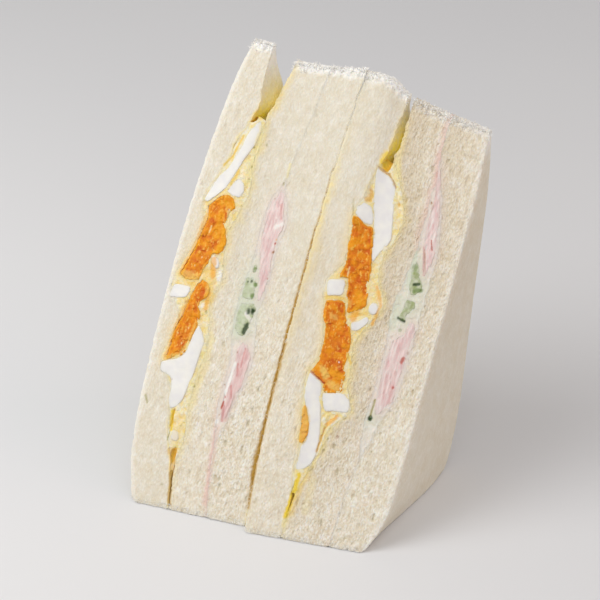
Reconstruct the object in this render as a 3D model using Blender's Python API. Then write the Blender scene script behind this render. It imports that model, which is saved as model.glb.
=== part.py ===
"""Egg and ham sandwich of soft white bread without crusts.

The sandwich is cut from corner to corner and its two halves stand together on a short side.
X runs across the stack of bread, +Y leads away from the cut faces and +Z points up.
The origin is at the middle of the bounding box's bottom.
"""
import math

import bmesh
import bpy
from mathutils import Matrix, Vector

# All sizes are millimetres until a mesh is made.
MM = 0.001

# The upright side outline: the cut runs from the foot up to the tip, and the heel is the
# corner at the back of the bottom, which is worn round.
TIP_Y = 83.0
TIP_THICK = 3.0
HEEL_Y = 61.0
HEEL_ROUND_Y = 10.5
HEEL_ROUND_RISE = 0.27

# Depth behind the cut over which the layers close up to how they lie at the back
CLOSE_UP = 48.0
# Heights between which the filling sets in and ends at the back
SWELL_START = (-0.05, 0.1)
SWELL_END = (0.85, 1.05)
# Every layer stays this far inside its own space, so that neighbours keep a gap, and so does
# a piece of filling, whose sides run straight between its points.
CLEARANCE = 0.17
PIECE_CLEARANCE = 0.45

# Steps of the bread and spread meshes, up the cut and from the cut to the back. A layer's low
# and high ends are whole steps, so that the faces that meet have the same triangles.
STEPS_UP = 20
STEPS_IN = 6

# Each half has its foot line and its height at the tip, as (x, value) pairs.
FOOT_Y = {
    "a": [(-77.0, -5.5), (-38.0, -3.1)],
    "b": [(-38.0, -6.0), (0.0, -0.8)],
}
TIP_Z = {
    "a": [(-77.0, 121.5), (-69.0, 120.5), (-62.0, 117.0), (-50.0, 117.0), (-38.0, 118.5)],
    "b": [(-38.0, 118.0), (-29.0, 117.0), (-23.0, 112.5), (-9.0, 108.5), (4.0, 105.7)],
}

# Where each layer meets the next on the cut face, as (height up the cut from 0 to 1, x), the
# x to which that face closes up at the back, and how far the filling keeps it from there.
FACES = {
    "a_outer": ([(0.0, -77.2), (0.1, -81.6), (0.25, -83.6), (0.5, -84.1), (0.7, -83.0),
                 (0.9, -80.0), (1.0, -76.6)], -78.6, 0.0),
    "a_egg_left": ([(0.0, -64.6), (0.05, -65.9), (0.1, -67.9), (0.15, -70.4), (0.2, -72.5),
                    (0.25, -74.4), (0.3, -79.6), (0.35, -78.4), (0.4, -77.2), (0.45, -82.3),
                    (0.5, -81.4), (0.55, -78.7), (0.6, -77.3), (0.65, -79.4), (0.7, -76.7),
                    (0.75, -74.2), (0.8, -72.8), (0.85, -71.2), (0.9, -69.9), (1.0, -69.6)], -65.6, -0.75),
    "a_egg_right": ([(0.0, -63.9), (0.05, -64.9), (0.1, -66.0), (0.15, -65.4), (0.2, -66.2),
                     (0.25, -66.6), (0.3, -66.4), (0.35, -65.7), (0.4, -66.9), (0.45, -68.2),
                     (0.5, -66.7), (0.55, -67.8), (0.6, -68.2), (0.65, -66.6), (0.7, -65.1),
                     (0.75, -66.2), (0.8, -65.8), (0.85, -65.5), (0.9, -64.4), (1.0, -61.7)], -65.6, 0.75),
    "a_ham_left": ([(0.0, -51.2), (0.05, -53.0), (0.1, -54.4), (0.15, -55.6), (0.2, -56.4),
                    (0.25, -57.3), (0.35, -57.3), (0.4, -59.0), (0.5, -59.7), (0.55, -58.5),
                    (0.65, -58.7), (0.7, -57.7), (0.75, -55.4), (0.85, -52.6), (1.0, -49.5)], -52.0, -0.65),
    "a_ham_right": ([(0.0, -51.1), (0.05, -52.8), (0.1, -53.9), (0.15, -54.4), (0.2, -53.4),
                     (0.25, -52.3), (0.3, -50.5), (0.35, -49.9), (0.4, -51.0), (0.45, -52.4),
                     (0.5, -51.3), (0.6, -51.6), (0.65, -50.6), (0.7, -52.4), (0.75, -53.8),
                     (0.85, -52.4), (1.0, -49.4)], -52.0, 0.65),
    "a_inner": ([(0.0, -38.2), (0.1, -39.7), (0.3, -41.1), (0.5, -41.2), (0.7, -40.6),
                 (0.85, -39.3), (1.0, -37.8)], -38.3, 0.0),
    "b_inner": ([(0.0, -37.4), (0.1, -39.0), (0.3, -40.7), (0.5, -40.8), (0.7, -40.2),
                 (0.85, -38.8), (1.0, -37.2)], -37.9, 0.0),
    "b_egg_left": ([(0.0, -26.0), (0.05, -26.0), (0.1, -26.4), (0.15, -27.1), (0.2, -27.7),
                    (0.25, -29.2), (0.3, -30.5), (0.35, -31.0), (0.4, -28.8), (0.45, -29.5),
                    (0.5, -31.7), (0.55, -32.6), (0.6, -28.6), (0.65, -29.3), (0.7, -30.2),
                    (0.75, -27.8), (0.8, -26.6), (0.85, -25.5), (0.9, -24.4), (1.0, -22.8)], -24.2, -0.75),
    "b_egg_right": ([(0.0, -25.9), (0.05, -25.5), (0.1, -24.5), (0.15, -23.2), (0.2, -21.1),
                     (0.25, -20.3), (0.3, -15.2), (0.35, -17.8), (0.4, -18.6), (0.45, -19.3),
                     (0.5, -16.2), (0.55, -13.7), (0.6, -17.4), (0.65, -17.5), (0.7, -15.4),
                     (0.75, -14.8), (0.8, -17.6), (0.85, -20.9), (0.9, -21.4), (1.0, -21.0)], -24.2, 0.75),
    "b_ham_left": ([(0.0, -10.5), (0.1, -9.9), (0.2, -9.2), (0.3, -9.8), (0.45, -9.6),
                    (0.55, -10.6), (0.65, -8.7), (0.75, -7.9), (0.85, -8.6), (0.9, -9.3),
                    (0.95, -8.7), (1.0, -8.2)], -10.6, -0.65),
    "b_ham_right": ([(0.0, -10.5), (0.1, -9.9), (0.2, -7.9), (0.25, -6.4), (0.3, -5.2),
                     (0.35, -2.4), (0.45, -1.6), (0.55, -1.7), (0.7, -1.6), (0.75, -2.7),
                     (0.8, -4.1), (0.85, -5.5), (0.9, -7.6), (0.95, -8.7), (1.0, -8.2)], -10.6, 0.65),
    "b_outer": ([(0.0, 0.3), (0.05, 3.2), (0.12, 5.0), (0.5, 5.5), (0.8, 5.6), (1.0, 4.3)], 4.9, 0.0),
}

# Slices of bread in order across the stack: name, half, left face, right face
BREADS = [
    ("bread_a1", "a", "a_outer", "a_egg_left"),
    ("bread_a2", "a", "a_egg_right", "a_ham_left"),
    ("bread_a3", "a", "a_ham_right", "a_inner"),
    ("bread_b1", "b", "b_inner", "b_egg_left"),
    ("bread_b2", "b", "b_egg_right", "b_ham_left"),
    ("bread_b3", "b", "b_ham_right", "b_outer"),
]

# Depth of the pieces of filling behind the cut
EGG_DEPTH = 18.0
HAM_DEPTH = 26.0
CUCUMBER_DEPTH = 16.0
# Part of the food's depth at which a piece ends at the latest
PIECE_REACH = 0.86

# A layer of filling is shared by its pieces and a spread that runs through the food. The
# spread lies along one face, and share is the part of the layer it takes at the cut, as
# (height, share) pairs. Behind the pieces it widens to nearly all of the layer.
WIDE_SHARE = 0.8
LAYERS = {
    "a_egg": {
        "half": "a", "left": "a_egg_left", "right": "a_egg_right", "depth": EGG_DEPTH, "spread_on": "right",
        "share": [(0.05, 0.6), (0.1, 0.5), (0.15, 0.26), (0.2, 0.4), (0.25, 0.18), (0.35, 0.08),
                  (0.4, 0.26), (0.45, 0.14), (0.5, 0.2), (0.55, 0.08), (0.65, 0.1), (0.7, 0.07),
                  (0.75, 0.2), (0.85, 0.15)],
        "spread": "egg_mash_a", "low": 0.05, "high": 0.85,
    },
    "a_ham": {
        "half": "a", "left": "a_ham_left", "right": "a_ham_right", "depth": HAM_DEPTH, "spread_on": "left",
        "share": [(0.15, 0.8), (0.2, 0.22), (0.3, 0.1), (0.5, 0.1), (0.55, 0.14), (0.7, 0.12),
                  (0.75, 0.8)],
        "spread": "cream_a", "low": 0.15, "high": 0.75,
    },
    "b_egg": {
        "half": "b", "left": "b_egg_left", "right": "b_egg_right", "depth": EGG_DEPTH, "spread_on": "right",
        "share": [(0.1, 0.7), (0.15, 0.3), (0.2, 0.14), (0.25, 0.24), (0.3, 0.07), (0.35, 0.1),
                  (0.4, 0.16), (0.5, 0.07), (0.55, 0.07), (0.6, 0.2), (0.65, 0.2), (0.7, 0.1),
                  (0.75, 0.2), (0.8, 0.12), (0.85, 0.5)],
        "spread": "egg_mash_b", "low": 0.1, "high": 0.85,
    },
    "b_ham": {
        "half": "b", "left": "b_ham_left", "right": "b_ham_right", "depth": HAM_DEPTH, "spread_on": "left",
        "share": [(0.2, 0.8), (0.25, 0.5), (0.3, 0.12), (0.45, 0.1), (0.55, 0.2), (0.65, 0.12),
                  (0.75, 0.12), (0.85, 0.2)],
        "spread": "cream_b", "low": 0.2, "high": 0.85,
    },
}

# Pieces of filling: name, layer, depth, and the outline on the cut as (x, height) pairs
PIECES = [
    ("egg_white_a1", "a_egg", EGG_DEPTH, [
        (-67.7, 0.845), (-66.3, 0.834), (-67.0, 0.795), (-68.7, 0.765), (-70.8, 0.722),
        (-72.8, 0.684), (-74.6, 0.668), (-77.6, 0.647), (-79.0, 0.65), (-76.1, 0.704),
        (-73.4, 0.73), (-71.2, 0.775), (-70.3, 0.808)]),
    ("egg_white_a2", "a_egg", EGG_DEPTH, [
        (-69.7, 0.713), (-67.4, 0.705), (-66.8, 0.69), (-67.8, 0.673), (-70.4, 0.671),
        (-72.3, 0.678), (-71.0, 0.696)]),
    ("egg_yolk_a1", "a_egg", EGG_DEPTH, [
        (-74.3, 0.664), (-72.4, 0.67), (-69.9, 0.666), (-68.5, 0.65), (-70.2, 0.637),
        (-70.6, 0.605), (-69.6, 0.596), (-68.8, 0.57), (-69.4, 0.548), (-72.2, 0.543),
        (-72.7, 0.52), (-73.9, 0.508), (-74.2, 0.482), (-79.0, 0.476), (-81.0, 0.487),
        (-80.0, 0.506), (-78.4, 0.54), (-77.4, 0.58), (-76.3, 0.615), (-77.5, 0.636)]),
    ("egg_white_a3", "a_egg", EGG_DEPTH, [
        (-71.4, 0.539), (-70.4, 0.54), (-68.7, 0.531), (-68.4, 0.519), (-69.3, 0.514),
        (-71.3, 0.526)]),
    ("egg_white_a4", "a_egg", EGG_DEPTH, [
        (-81.4, 0.463), (-76.2, 0.464), (-75.7, 0.455), (-76.5, 0.441), (-78.9, 0.436),
        (-82.2, 0.434), (-82.0, 0.449)]),
    ("egg_yolk_a2", "a_egg", EGG_DEPTH, [
        (-72.7, 0.487), (-71.4, 0.482), (-70.1, 0.471), (-70.0, 0.455), (-71.6, 0.443),
        (-72.1, 0.427), (-71.0, 0.417), (-70.5, 0.397), (-71.5, 0.372), (-72.2, 0.335),
        (-73.3, 0.321), (-75.6, 0.314), (-78.2, 0.304), (-78.0, 0.33), (-77.8, 0.36),
        (-77.2, 0.385), (-76.4, 0.402), (-76.0, 0.425), (-75.5, 0.445), (-74.2, 0.472)]),
    ("egg_white_a5", "a_egg", EGG_DEPTH, [
        (-69.9, 0.391), (-68.4, 0.379), (-66.7, 0.362), (-67.2, 0.335), (-67.5, 0.295),
        (-68.2, 0.262), (-69.0, 0.228), (-70.3, 0.213), (-72.2, 0.206), (-73.5, 0.222),
        (-73.5, 0.25), (-74.8, 0.272), (-78.8, 0.278), (-79.2, 0.298), (-75.6, 0.307),
        (-73.0, 0.316), (-71.8, 0.331), (-70.9, 0.37)]),
    ("egg_white_a6", "a_egg", EGG_DEPTH, [
        (-69.5, 0.165), (-67.6, 0.163), (-66.9, 0.15), (-67.6, 0.143), (-69.4, 0.146)]),
    ("ham_a1", "a_ham", HAM_DEPTH, [
        (-55.3, 0.724), (-54.0, 0.714), (-53.1, 0.698), (-52.3, 0.67), (-51.2, 0.645),
        (-52.0, 0.625), (-52.4, 0.595), (-52.3, 0.56), (-51.7, 0.535), (-52.0, 0.505),
        (-52.5, 0.476), (-53.4, 0.476), (-54.3, 0.51), (-54.9, 0.525), (-55.6, 0.545),
        (-56.9, 0.58), (-57.7, 0.615), (-58.0, 0.66), (-57.5, 0.69), (-56.4, 0.705)]),
    ("ham_a2", "a_ham", HAM_DEPTH, [
        (-54.8, 0.384), (-52.8, 0.379), (-51.4, 0.362), (-50.5, 0.35), (-51.0, 0.325),
        (-51.1, 0.287), (-52.6, 0.268), (-53.3, 0.235), (-53.9, 0.211), (-55.2, 0.211),
        (-55.9, 0.23), (-56.3, 0.26), (-56.7, 0.285), (-56.2, 0.31), (-55.6, 0.34),
        (-55.8, 0.365)]),
    ("cucumber_a1", "a_ham", CUCUMBER_DEPTH, [
        (-58.9, 0.522), (-57.2, 0.523), (-55.4, 0.516), (-55.0, 0.505), (-55.1, 0.478),
        (-56.6, 0.475), (-58.9, 0.479), (-59.2, 0.5)]),
    ("cucumber_a2", "a_ham", CUCUMBER_DEPTH, [
        (-58.6, 0.468), (-56.8, 0.466), (-54.2, 0.469), (-53.4, 0.458), (-53.6, 0.44),
        (-54.0, 0.426), (-54.3, 0.41), (-55.2, 0.396), (-56.4, 0.397), (-58.2, 0.404),
        (-58.9, 0.43)]),
    ("cucumber_a3", "a_ham", CUCUMBER_DEPTH, [
        (-57.5, 0.552), (-56.6, 0.551), (-56.3, 0.54), (-56.9, 0.533), (-57.6, 0.536)]),
    ("egg_white_b1", "b_egg", EGG_DEPTH, [
        (-26.1, 0.819), (-22.6, 0.819), (-20.9, 0.812), (-19.5, 0.8), (-19.0, 0.775),
        (-18.2, 0.74), (-17.3, 0.71), (-16.8, 0.69), (-17.6, 0.675), (-19.0, 0.66),
        (-20.4, 0.632), (-21.0, 0.64), (-21.6, 0.665), (-22.3, 0.695), (-23.0, 0.707),
        (-23.4, 0.725), (-24.6, 0.743), (-25.2, 0.765), (-25.7, 0.79), (-26.2, 0.81)]),
    ("egg_white_b2", "b_egg", EGG_DEPTH, [
        (-27.6, 0.734), (-25.3, 0.739), (-23.9, 0.722), (-23.6, 0.706), (-26.0, 0.699),
        (-29.2, 0.704), (-29.0, 0.722)]),
    ("egg_yolk_b1", "b_egg", EGG_DEPTH, [
        (-29.6, 0.697), (-28.2, 0.699), (-26.0, 0.695), (-23.6, 0.7), (-22.9, 0.69),
        (-22.2, 0.665), (-21.5, 0.64), (-20.7, 0.615), (-20.3, 0.575), (-19.4, 0.556),
        (-19.3, 0.536), (-20.4, 0.526), (-22.6, 0.516), (-24.0, 0.506), (-24.5, 0.528),
        (-25.2, 0.538), (-25.7, 0.56), (-26.2, 0.577), (-27.9, 0.571), (-29.2, 0.566),
        (-28.5, 0.58), (-28.0, 0.6), (-28.3, 0.625), (-28.9, 0.64), (-28.9, 0.665)]),
    ("egg_white_b3", "b_egg", EGG_DEPTH, [
        (-32.0, 0.553), (-29.3, 0.558), (-27.3, 0.564), (-26.9, 0.557), (-26.7, 0.541),
        (-27.4, 0.531), (-31.0, 0.521), (-31.7, 0.536)]),
    ("egg_yolk_b2", "b_egg", EGG_DEPTH, [
        (-31.1, 0.509), (-28.6, 0.516), (-26.0, 0.524), (-25.3, 0.521), (-25.0, 0.503),
        (-23.8, 0.488), (-22.7, 0.482), (-21.5, 0.463), (-20.8, 0.447), (-20.5, 0.425),
        (-20.9, 0.41), (-20.5, 0.39), (-19.8, 0.378), (-20.0, 0.36), (-19.7, 0.338),
        (-22.4, 0.332), (-24.6, 0.327), (-25.4, 0.344), (-27.6, 0.351), (-30.1, 0.358),
        (-29.2, 0.374), (-28.3, 0.386), (-28.5, 0.405), (-28.3, 0.425), (-28.9, 0.447),
        (-29.4, 0.463), (-30.4, 0.475), (-30.9, 0.493)]),
    ("egg_white_b4", "b_egg", EGG_DEPTH, [
        (-22.0, 0.489), (-20.0, 0.495), (-17.8, 0.512), (-17.0, 0.506), (-17.6, 0.495),
        (-19.4, 0.478), (-21.3, 0.474)]),
    ("egg_white_b5", "b_egg", EGG_DEPTH, [
        (-17.9, 0.534), (-17.3, 0.543), (-16.0, 0.546), (-15.1, 0.536), (-15.4, 0.524),
        (-16.6, 0.521), (-17.6, 0.525)]),
    ("egg_white_b6", "b_egg", EGG_DEPTH, [
        (-30.1, 0.3545), (-28.0, 0.347), (-25.9, 0.34), (-25.3, 0.315), (-24.4, 0.29),
        (-23.3, 0.263), (-22.7, 0.24), (-22.3, 0.21), (-22.1, 0.19), (-22.7, 0.173),
        (-24.2, 0.159), (-26.0, 0.151), (-26.9, 0.153), (-26.6, 0.175), (-27.0, 0.198),
        (-26.1, 0.215), (-25.8, 0.235), (-26.2, 0.252), (-27.2, 0.268), (-28.7, 0.286),
        (-29.8, 0.302), (-30.3, 0.33)]),
    ("egg_white_b7", "b_egg", EGG_DEPTH, [
        (-24.7, 0.3235), (-22.4, 0.328), (-19.8, 0.334), (-18.4, 0.334), (-16.4, 0.323),
        (-15.7, 0.309), (-16.0, 0.298), (-20.2, 0.295), (-22.7, 0.289), (-23.7, 0.3),
        (-24.5, 0.312)]),
    ("egg_yolk_b3", "b_egg", EGG_DEPTH, [
        (-29.3, 0.286), (-28.8, 0.279), (-27.6, 0.263), (-26.7, 0.25), (-26.3, 0.235),
        (-26.6, 0.218), (-27.4, 0.206), (-28.1, 0.208), (-28.5, 0.235), (-29.2, 0.26)]),
    ("ham_b1", "b_ham", HAM_DEPTH, [
        (-8.6, 0.9), (-7.6, 0.882), (-6.3, 0.855), (-5.4, 0.825), (-4.6, 0.795),
        (-3.6, 0.765), (-3.0, 0.735), (-2.2, 0.708), (-2.3, 0.685), (-2.8, 0.655),
        (-3.6, 0.636), (-4.5, 0.65), (-5.4, 0.675), (-6.4, 0.705), (-6.9, 0.74),
        (-7.1, 0.775), (-6.8, 0.8), (-7.3, 0.84), (-8.3, 0.875)]),
    ("ham_b2", "b_ham", HAM_DEPTH, [
        (-4.4, 0.53), (-2.3, 0.525), (-1.8, 0.5), (-2.4, 0.47), (-2.4, 0.43),
        (-2.7, 0.4), (-3.1, 0.365), (-3.0, 0.345), (-4.4, 0.335), (-5.6, 0.318),
        (-6.9, 0.305), (-7.6, 0.313), (-8.2, 0.34), (-8.6, 0.385), (-8.7, 0.43),
        (-8.2, 0.475), (-6.8, 0.488), (-5.2, 0.495)]),
    ("cucumber_b1", "b_ham", CUCUMBER_DEPTH, [
        (-7.4, 0.667), (-6.6, 0.662), (-5.8, 0.645), (-4.5, 0.628), (-3.6, 0.618),
        (-3.5, 0.604), (-4.6, 0.592), (-6.4, 0.588), (-7.2, 0.6), (-7.9, 0.635)]),
    ("cucumber_b2", "b_ham", CUCUMBER_DEPTH, [
        (-7.2, 0.576), (-4.6, 0.576), (-4.1, 0.565), (-4.8, 0.55), (-6.0, 0.54),
        (-6.1, 0.527), (-8.2, 0.53), (-7.6, 0.545)]),
    ("cucumber_b3", "b_ham", CUCUMBER_DEPTH, [
        (-8.9, 0.3), (-7.8, 0.301), (-7.7, 0.294), (-8.2, 0.291), (-9.0, 0.294)]),
]
# A piece narrows up and down towards its inner end, as a slice's round side does.
PIECE_STEPS = 3
PIECE_END = {"egg": 0.7, "ham": 0.85, "cucumber": 0.7}

# Colour, roughness and metallic value by the first words of a node's name
FINISHES = {
    "bread": ((0.79, 0.72, 0.58), 0.9),
    "egg_white": ((0.83, 0.82, 0.79), 0.35),
    "egg_yolk": ((0.8, 0.24, 0.02), 0.6),
    "egg_mash": ((0.86, 0.68, 0.32), 0.5),
    "cream": ((0.82, 0.77, 0.62), 0.5),
    "ham": ((0.75, 0.5, 0.5), 0.4),
    "cucumber": ((0.36, 0.44, 0.14), 0.3),
}


def curve(points, place):
    """Value of a smooth line through (place, value) pairs, level past both ends."""
    last = len(points) - 1
    place = min(max(place, points[0][0]), points[last][0])
    first = max(i for i in range(last) if points[i][0] <= place)

    def slope(i):
        low = points[max(i - 1, 0)]
        high = points[min(i + 1, last)]
        return (high[1] - low[1]) / (high[0] - low[0])

    (place_0, value_0), (place_1, value_1) = points[first], points[first + 1]
    step = place_1 - place_0
    s = (place - place_0) / step
    rise = (3.0 - 2.0 * s) * s * s
    bend_0 = s * (1.0 - s) ** 2 * step * slope(first)
    bend_1 = s * s * (s - 1.0) * step * slope(first + 1)
    return value_0 + (value_1 - value_0) * rise + bend_0 + bend_1


def ease(low, high, value):
    """0 below low, 1 above high, and a smooth step between them."""
    s = min(max((value - low) / (high - low), 0.0), 1.0)
    return s * s * (3.0 - 2.0 * s)


def back_y(height):
    """Y of the back side at a height from 0 to 1, with the heel worn round."""
    straight = HEEL_Y + (TIP_Y + TIP_THICK - HEEL_Y) * height
    if height >= HEEL_ROUND_RISE:
        return straight
    drop = (HEEL_ROUND_RISE - height) / HEEL_ROUND_RISE
    return straight - HEEL_ROUND_Y * (1.0 - math.sqrt(1.0 - drop * drop))


def front_y(half, x, height):
    """Y of the cut face."""
    return curve(FOOT_Y[half], x) * (1.0 - height) + TIP_Y * height


def full_depth(half, x, height):
    """Distance from the cut face to the back side."""
    return back_y(height) - front_y(half, x, height)


def face_x(face, height, depth):
    """X of the face between two layers, at a height and a depth behind the cut."""
    on_cut, at_back, swell = FACES[face]
    x = curve(on_cut, height)
    at_back += swell * ease(*SWELL_START, height) * (1.0 - ease(*SWELL_END, height))
    return x + (at_back - x) * ease(0.0, CLOSE_UP, depth)


def point(half, x, height, depth):
    """A point in the food, in metres."""
    return Vector((x, front_y(half, x, height) + depth, height * curve(TIP_Z[half], x))) * MM


def split_x(layer, height, depth):
    """X where a layer's pieces end and its spread starts."""
    left = face_x(layer["left"], height, depth)
    right = face_x(layer["right"], height, depth)
    full = full_depth(layer["half"], left, height)
    share = curve(layer["share"], height)
    share += (WIDE_SHARE - share) * ease(min(layer["depth"], full * PIECE_REACH), full, depth)
    if layer["spread_on"] == "right":
        return right - (right - left) * share
    return left + (right - left) * share


def make_object(name, mesh):
    """An object with the finish that its name calls for."""
    obj = bpy.data.objects.new(name, mesh)
    bpy.context.scene.collection.objects.link(obj)
    kind = next(key for key in FINISHES if name.startswith(key))
    colour, roughness = FINISHES[kind]
    material = bpy.data.materials.new(name + "_finish")
    material.use_nodes = True
    shader = material.node_tree.nodes["Principled BSDF"]
    shader.inputs["Base Color"].default_value = (*colour, 1.0)
    shader.inputs["Roughness"].default_value = roughness
    shader.inputs["Metallic"].default_value = 0.0
    mesh.materials.append(material)
    return obj


def make_sheet(name, half, left_x, right_x, low, high):
    """A closed layer between two faces given as functions of height and depth."""
    bm = bmesh.new()
    steps = round((high - low) * STEPS_UP)
    sides = []
    for face, inset in ((left_x, CLEARANCE), (right_x, -CLEARANCE)):
        rows = []
        for i in range(steps + 1):
            height = low + i / STEPS_UP
            deep = full_depth(half, face(height, 0.0), height)
            row = []
            for j in range(STEPS_IN + 1):
                depth = deep * j / STEPS_IN
                x = face(height, depth) + inset
                row.append(bm.verts.new(point(half, x, height, depth)))
            rows.append(row)
        sides.append(rows)
    left, right = sides
    for i in range(steps):
        for j in range(STEPS_IN):
            bm.faces.new((left[i][j], left[i + 1][j], left[i][j + 1]))
            bm.faces.new((left[i + 1][j], left[i + 1][j + 1], left[i][j + 1]))
            bm.faces.new((right[i][j], right[i][j + 1], right[i + 1][j]))
            bm.faces.new((right[i + 1][j], right[i][j + 1], right[i + 1][j + 1]))
        bm.faces.new((left[i][0], right[i][0], right[i + 1][0], left[i + 1][0]))
        bm.faces.new((left[i][-1], left[i + 1][-1], right[i + 1][-1], right[i][-1]))
    for j in range(STEPS_IN):
        bm.faces.new((left[0][j], left[0][j + 1], right[0][j + 1], right[0][j]))
        bm.faces.new((left[-1][j], right[-1][j], right[-1][j + 1], left[-1][j + 1]))
    mesh = bpy.data.meshes.new(name)
    bm.to_mesh(mesh)
    bm.free()
    return make_object(name, mesh)


def make_bread(name, half, left, right):
    """A slice of bread, which runs from the floor to the tip."""
    return make_sheet(name, half,
                      lambda height, depth: face_x(left, height, depth),
                      lambda height, depth: face_x(right, height, depth),
                      0.0, 1.0)


def make_spread(layer):
    """The soft spread of a filling layer, which runs from the cut to the back."""
    def split(height, depth):
        return split_x(layer, height, depth)

    def outer(height, depth):
        return face_x(layer[layer["spread_on"]], height, depth)

    left_x, right_x = (split, outer) if layer["spread_on"] == "right" else (outer, split)
    return make_sheet(layer["spread"], layer["half"], left_x, right_x, layer["low"], layer["high"])


def row_zone(layer, row, depth):
    """Left and right X of the space that a layer leaves for its pieces, at a row of its mesh."""
    height = row / STEPS_UP
    split = split_x(layer, height, depth)
    if layer["spread_on"] == "right":
        return face_x(layer["left"], height, depth), split
    return split, face_x(layer["right"], height, depth)


def piece_zone(layer, height, depth):
    """That space at any height: its sides are flat between the rows."""
    row = math.floor(height * STEPS_UP)
    share = height * STEPS_UP - row
    below = row_zone(layer, row, depth)
    above = row_zone(layer, row + 1, depth)
    left, right = (low + (high - low) * share for low, high in zip(below, above))
    return left + PIECE_CLEARANCE, right - PIECE_CLEARANCE


def make_piece(name, layer, depth, outline):
    """A piece of filling: its outline on the cut, led inwards between its neighbours."""
    half = layer["half"]
    end_size = PIECE_END[name.split("_")[0]]
    middle = sum(height for _, height in outline) / len(outline)
    room = min(full_depth(half, x, height) for x, height in outline)
    depth = min(depth, room * PIECE_REACH)
    bm = bmesh.new()
    rings = []
    for j in range(PIECE_STEPS + 1):
        inward = j / PIECE_STEPS
        size = 1.0 - (1.0 - end_size) * inward * inward
        ring = []
        for x, height in outline:
            left, right = piece_zone(layer, height, 0.0)
            across = min(max((x - left) / (right - left), 0.0), 1.0)
            height = middle + (height - middle) * size
            left, right = piece_zone(layer, height, depth * inward)
            x = left + (right - left) * across
            ring.append(bm.verts.new(point(half, x, height, depth * inward)))
        rings.append(ring)
    count = len(outline)
    for ring, following in zip(rings, rings[1:]):
        for k in range(count):
            after = (k + 1) % count
            bm.faces.new((ring[k], ring[after], following[after], following[k]))
    bm.faces.new(reversed(rings[0]))
    bm.faces.new(rings[-1])
    bmesh.ops.triangulate(bm, faces=bm.faces[:])
    bmesh.ops.recalc_face_normals(bm, faces=bm.faces[:])
    mesh = bpy.data.meshes.new(name)
    bm.to_mesh(mesh)
    bm.free()
    return make_object(name, mesh)


def move_to_origin(objects):
    """Shift every mesh so that the origin is at the bottom of the box, in its middle."""
    corners = [vertex.co for obj in objects for vertex in obj.data.vertices]
    low = Vector(min(corner[axis] for corner in corners) for axis in range(3))
    high = Vector(max(corner[axis] for corner in corners) for axis in range(3))
    base = Vector(((low.x + high.x) / 2.0, (low.y + high.y) / 2.0, low.z))
    for obj in objects:
        obj.data.transform(Matrix.Translation(-base))


def main():
    """Build the whole sandwich."""
    for obj in list(bpy.data.objects):
        bpy.data.objects.remove(obj, do_unlink=True)
    objects = [make_bread(*slice_of_bread) for slice_of_bread in BREADS]
    objects += [make_spread(layer) for layer in LAYERS.values()]
    objects += [make_piece(name, LAYERS[layer], depth, outline)
                for name, layer, depth, outline in PIECES]
    move_to_origin(objects)


main()
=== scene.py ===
"""Looks of the egg and ham sandwich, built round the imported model.

Every layer and piece of filling is made again from the model's layout with a finer mesh, with
the crumb, folds and lumps as relief. X runs across the stack, the cut faces lean back along +Y
and height is 0 at the foot of the cut and 1 at its tip. Layout sizes are millimetres.
"""
import math

import bpy
import numpy as np
from mathutils import Matrix, Vector
from mathutils.geometry import delaunay_2d_cdt


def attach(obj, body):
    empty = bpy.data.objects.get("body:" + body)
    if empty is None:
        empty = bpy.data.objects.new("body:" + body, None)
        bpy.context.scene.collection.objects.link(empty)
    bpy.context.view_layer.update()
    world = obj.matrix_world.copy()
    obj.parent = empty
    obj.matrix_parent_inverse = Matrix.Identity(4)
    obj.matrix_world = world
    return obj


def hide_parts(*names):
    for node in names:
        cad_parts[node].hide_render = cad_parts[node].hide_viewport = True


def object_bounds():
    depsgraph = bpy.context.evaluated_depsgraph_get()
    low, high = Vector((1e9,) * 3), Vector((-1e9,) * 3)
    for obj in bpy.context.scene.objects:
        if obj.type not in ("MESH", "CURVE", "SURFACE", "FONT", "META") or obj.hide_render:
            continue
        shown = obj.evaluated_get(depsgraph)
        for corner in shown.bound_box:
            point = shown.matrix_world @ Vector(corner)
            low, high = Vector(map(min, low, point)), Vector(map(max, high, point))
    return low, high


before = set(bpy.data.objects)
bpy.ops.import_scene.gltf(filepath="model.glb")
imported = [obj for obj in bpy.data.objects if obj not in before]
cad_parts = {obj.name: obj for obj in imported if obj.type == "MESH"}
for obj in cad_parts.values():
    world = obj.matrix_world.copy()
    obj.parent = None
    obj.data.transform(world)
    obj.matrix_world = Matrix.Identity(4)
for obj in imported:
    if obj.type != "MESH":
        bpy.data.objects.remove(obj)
cad_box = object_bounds()

MM = 0.001
# Farther than anything that is measured on the cut
FAR = 99.0

# The model's layout in millimetres: the cut's tip, how far the cut rises, and the food's
# thickness behind the tip
TIP_Y = 83.0
CUT_RISE = 118.0
TIP_THICK = 3.0
# The heel at the back: its Y, how far it is worn round, and up to which height
HEEL_Y = 61.0
HEEL_ROUND_Y = 10.5
HEEL_ROUND_RISE = 0.27
# How deep behind the cut the faces between the layers reach their places at the back
CLOSE_UP = 48.0
# How far up the swelling at the back comes in and goes out
SWELL_START = (-0.05, 0.1)
SWELL_END = (0.85, 1.05)
# How far the model's outer sides lie inside these faces
CLEARANCE = 0.17
# Y of the cut's foot, and Z of its tip, as (x, value) pairs
FOOT_Y = {
    "a": [(-77.0, -5.5), (-38.0, -3.1)],
    "b": [(-38.0, -6.0), (0.0, -0.8)],
}
TIP_Z = {
    "a": [(-77.0, 121.5), (-69.0, 120.5), (-62.0, 117.0), (-50.0, 117.0), (-38.0, 118.5)],
    "b": [(-38.0, 118.0), (-29.0, 117.0), (-23.0, 112.5), (-9.0, 108.5), (4.0, 105.7)],
}
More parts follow.
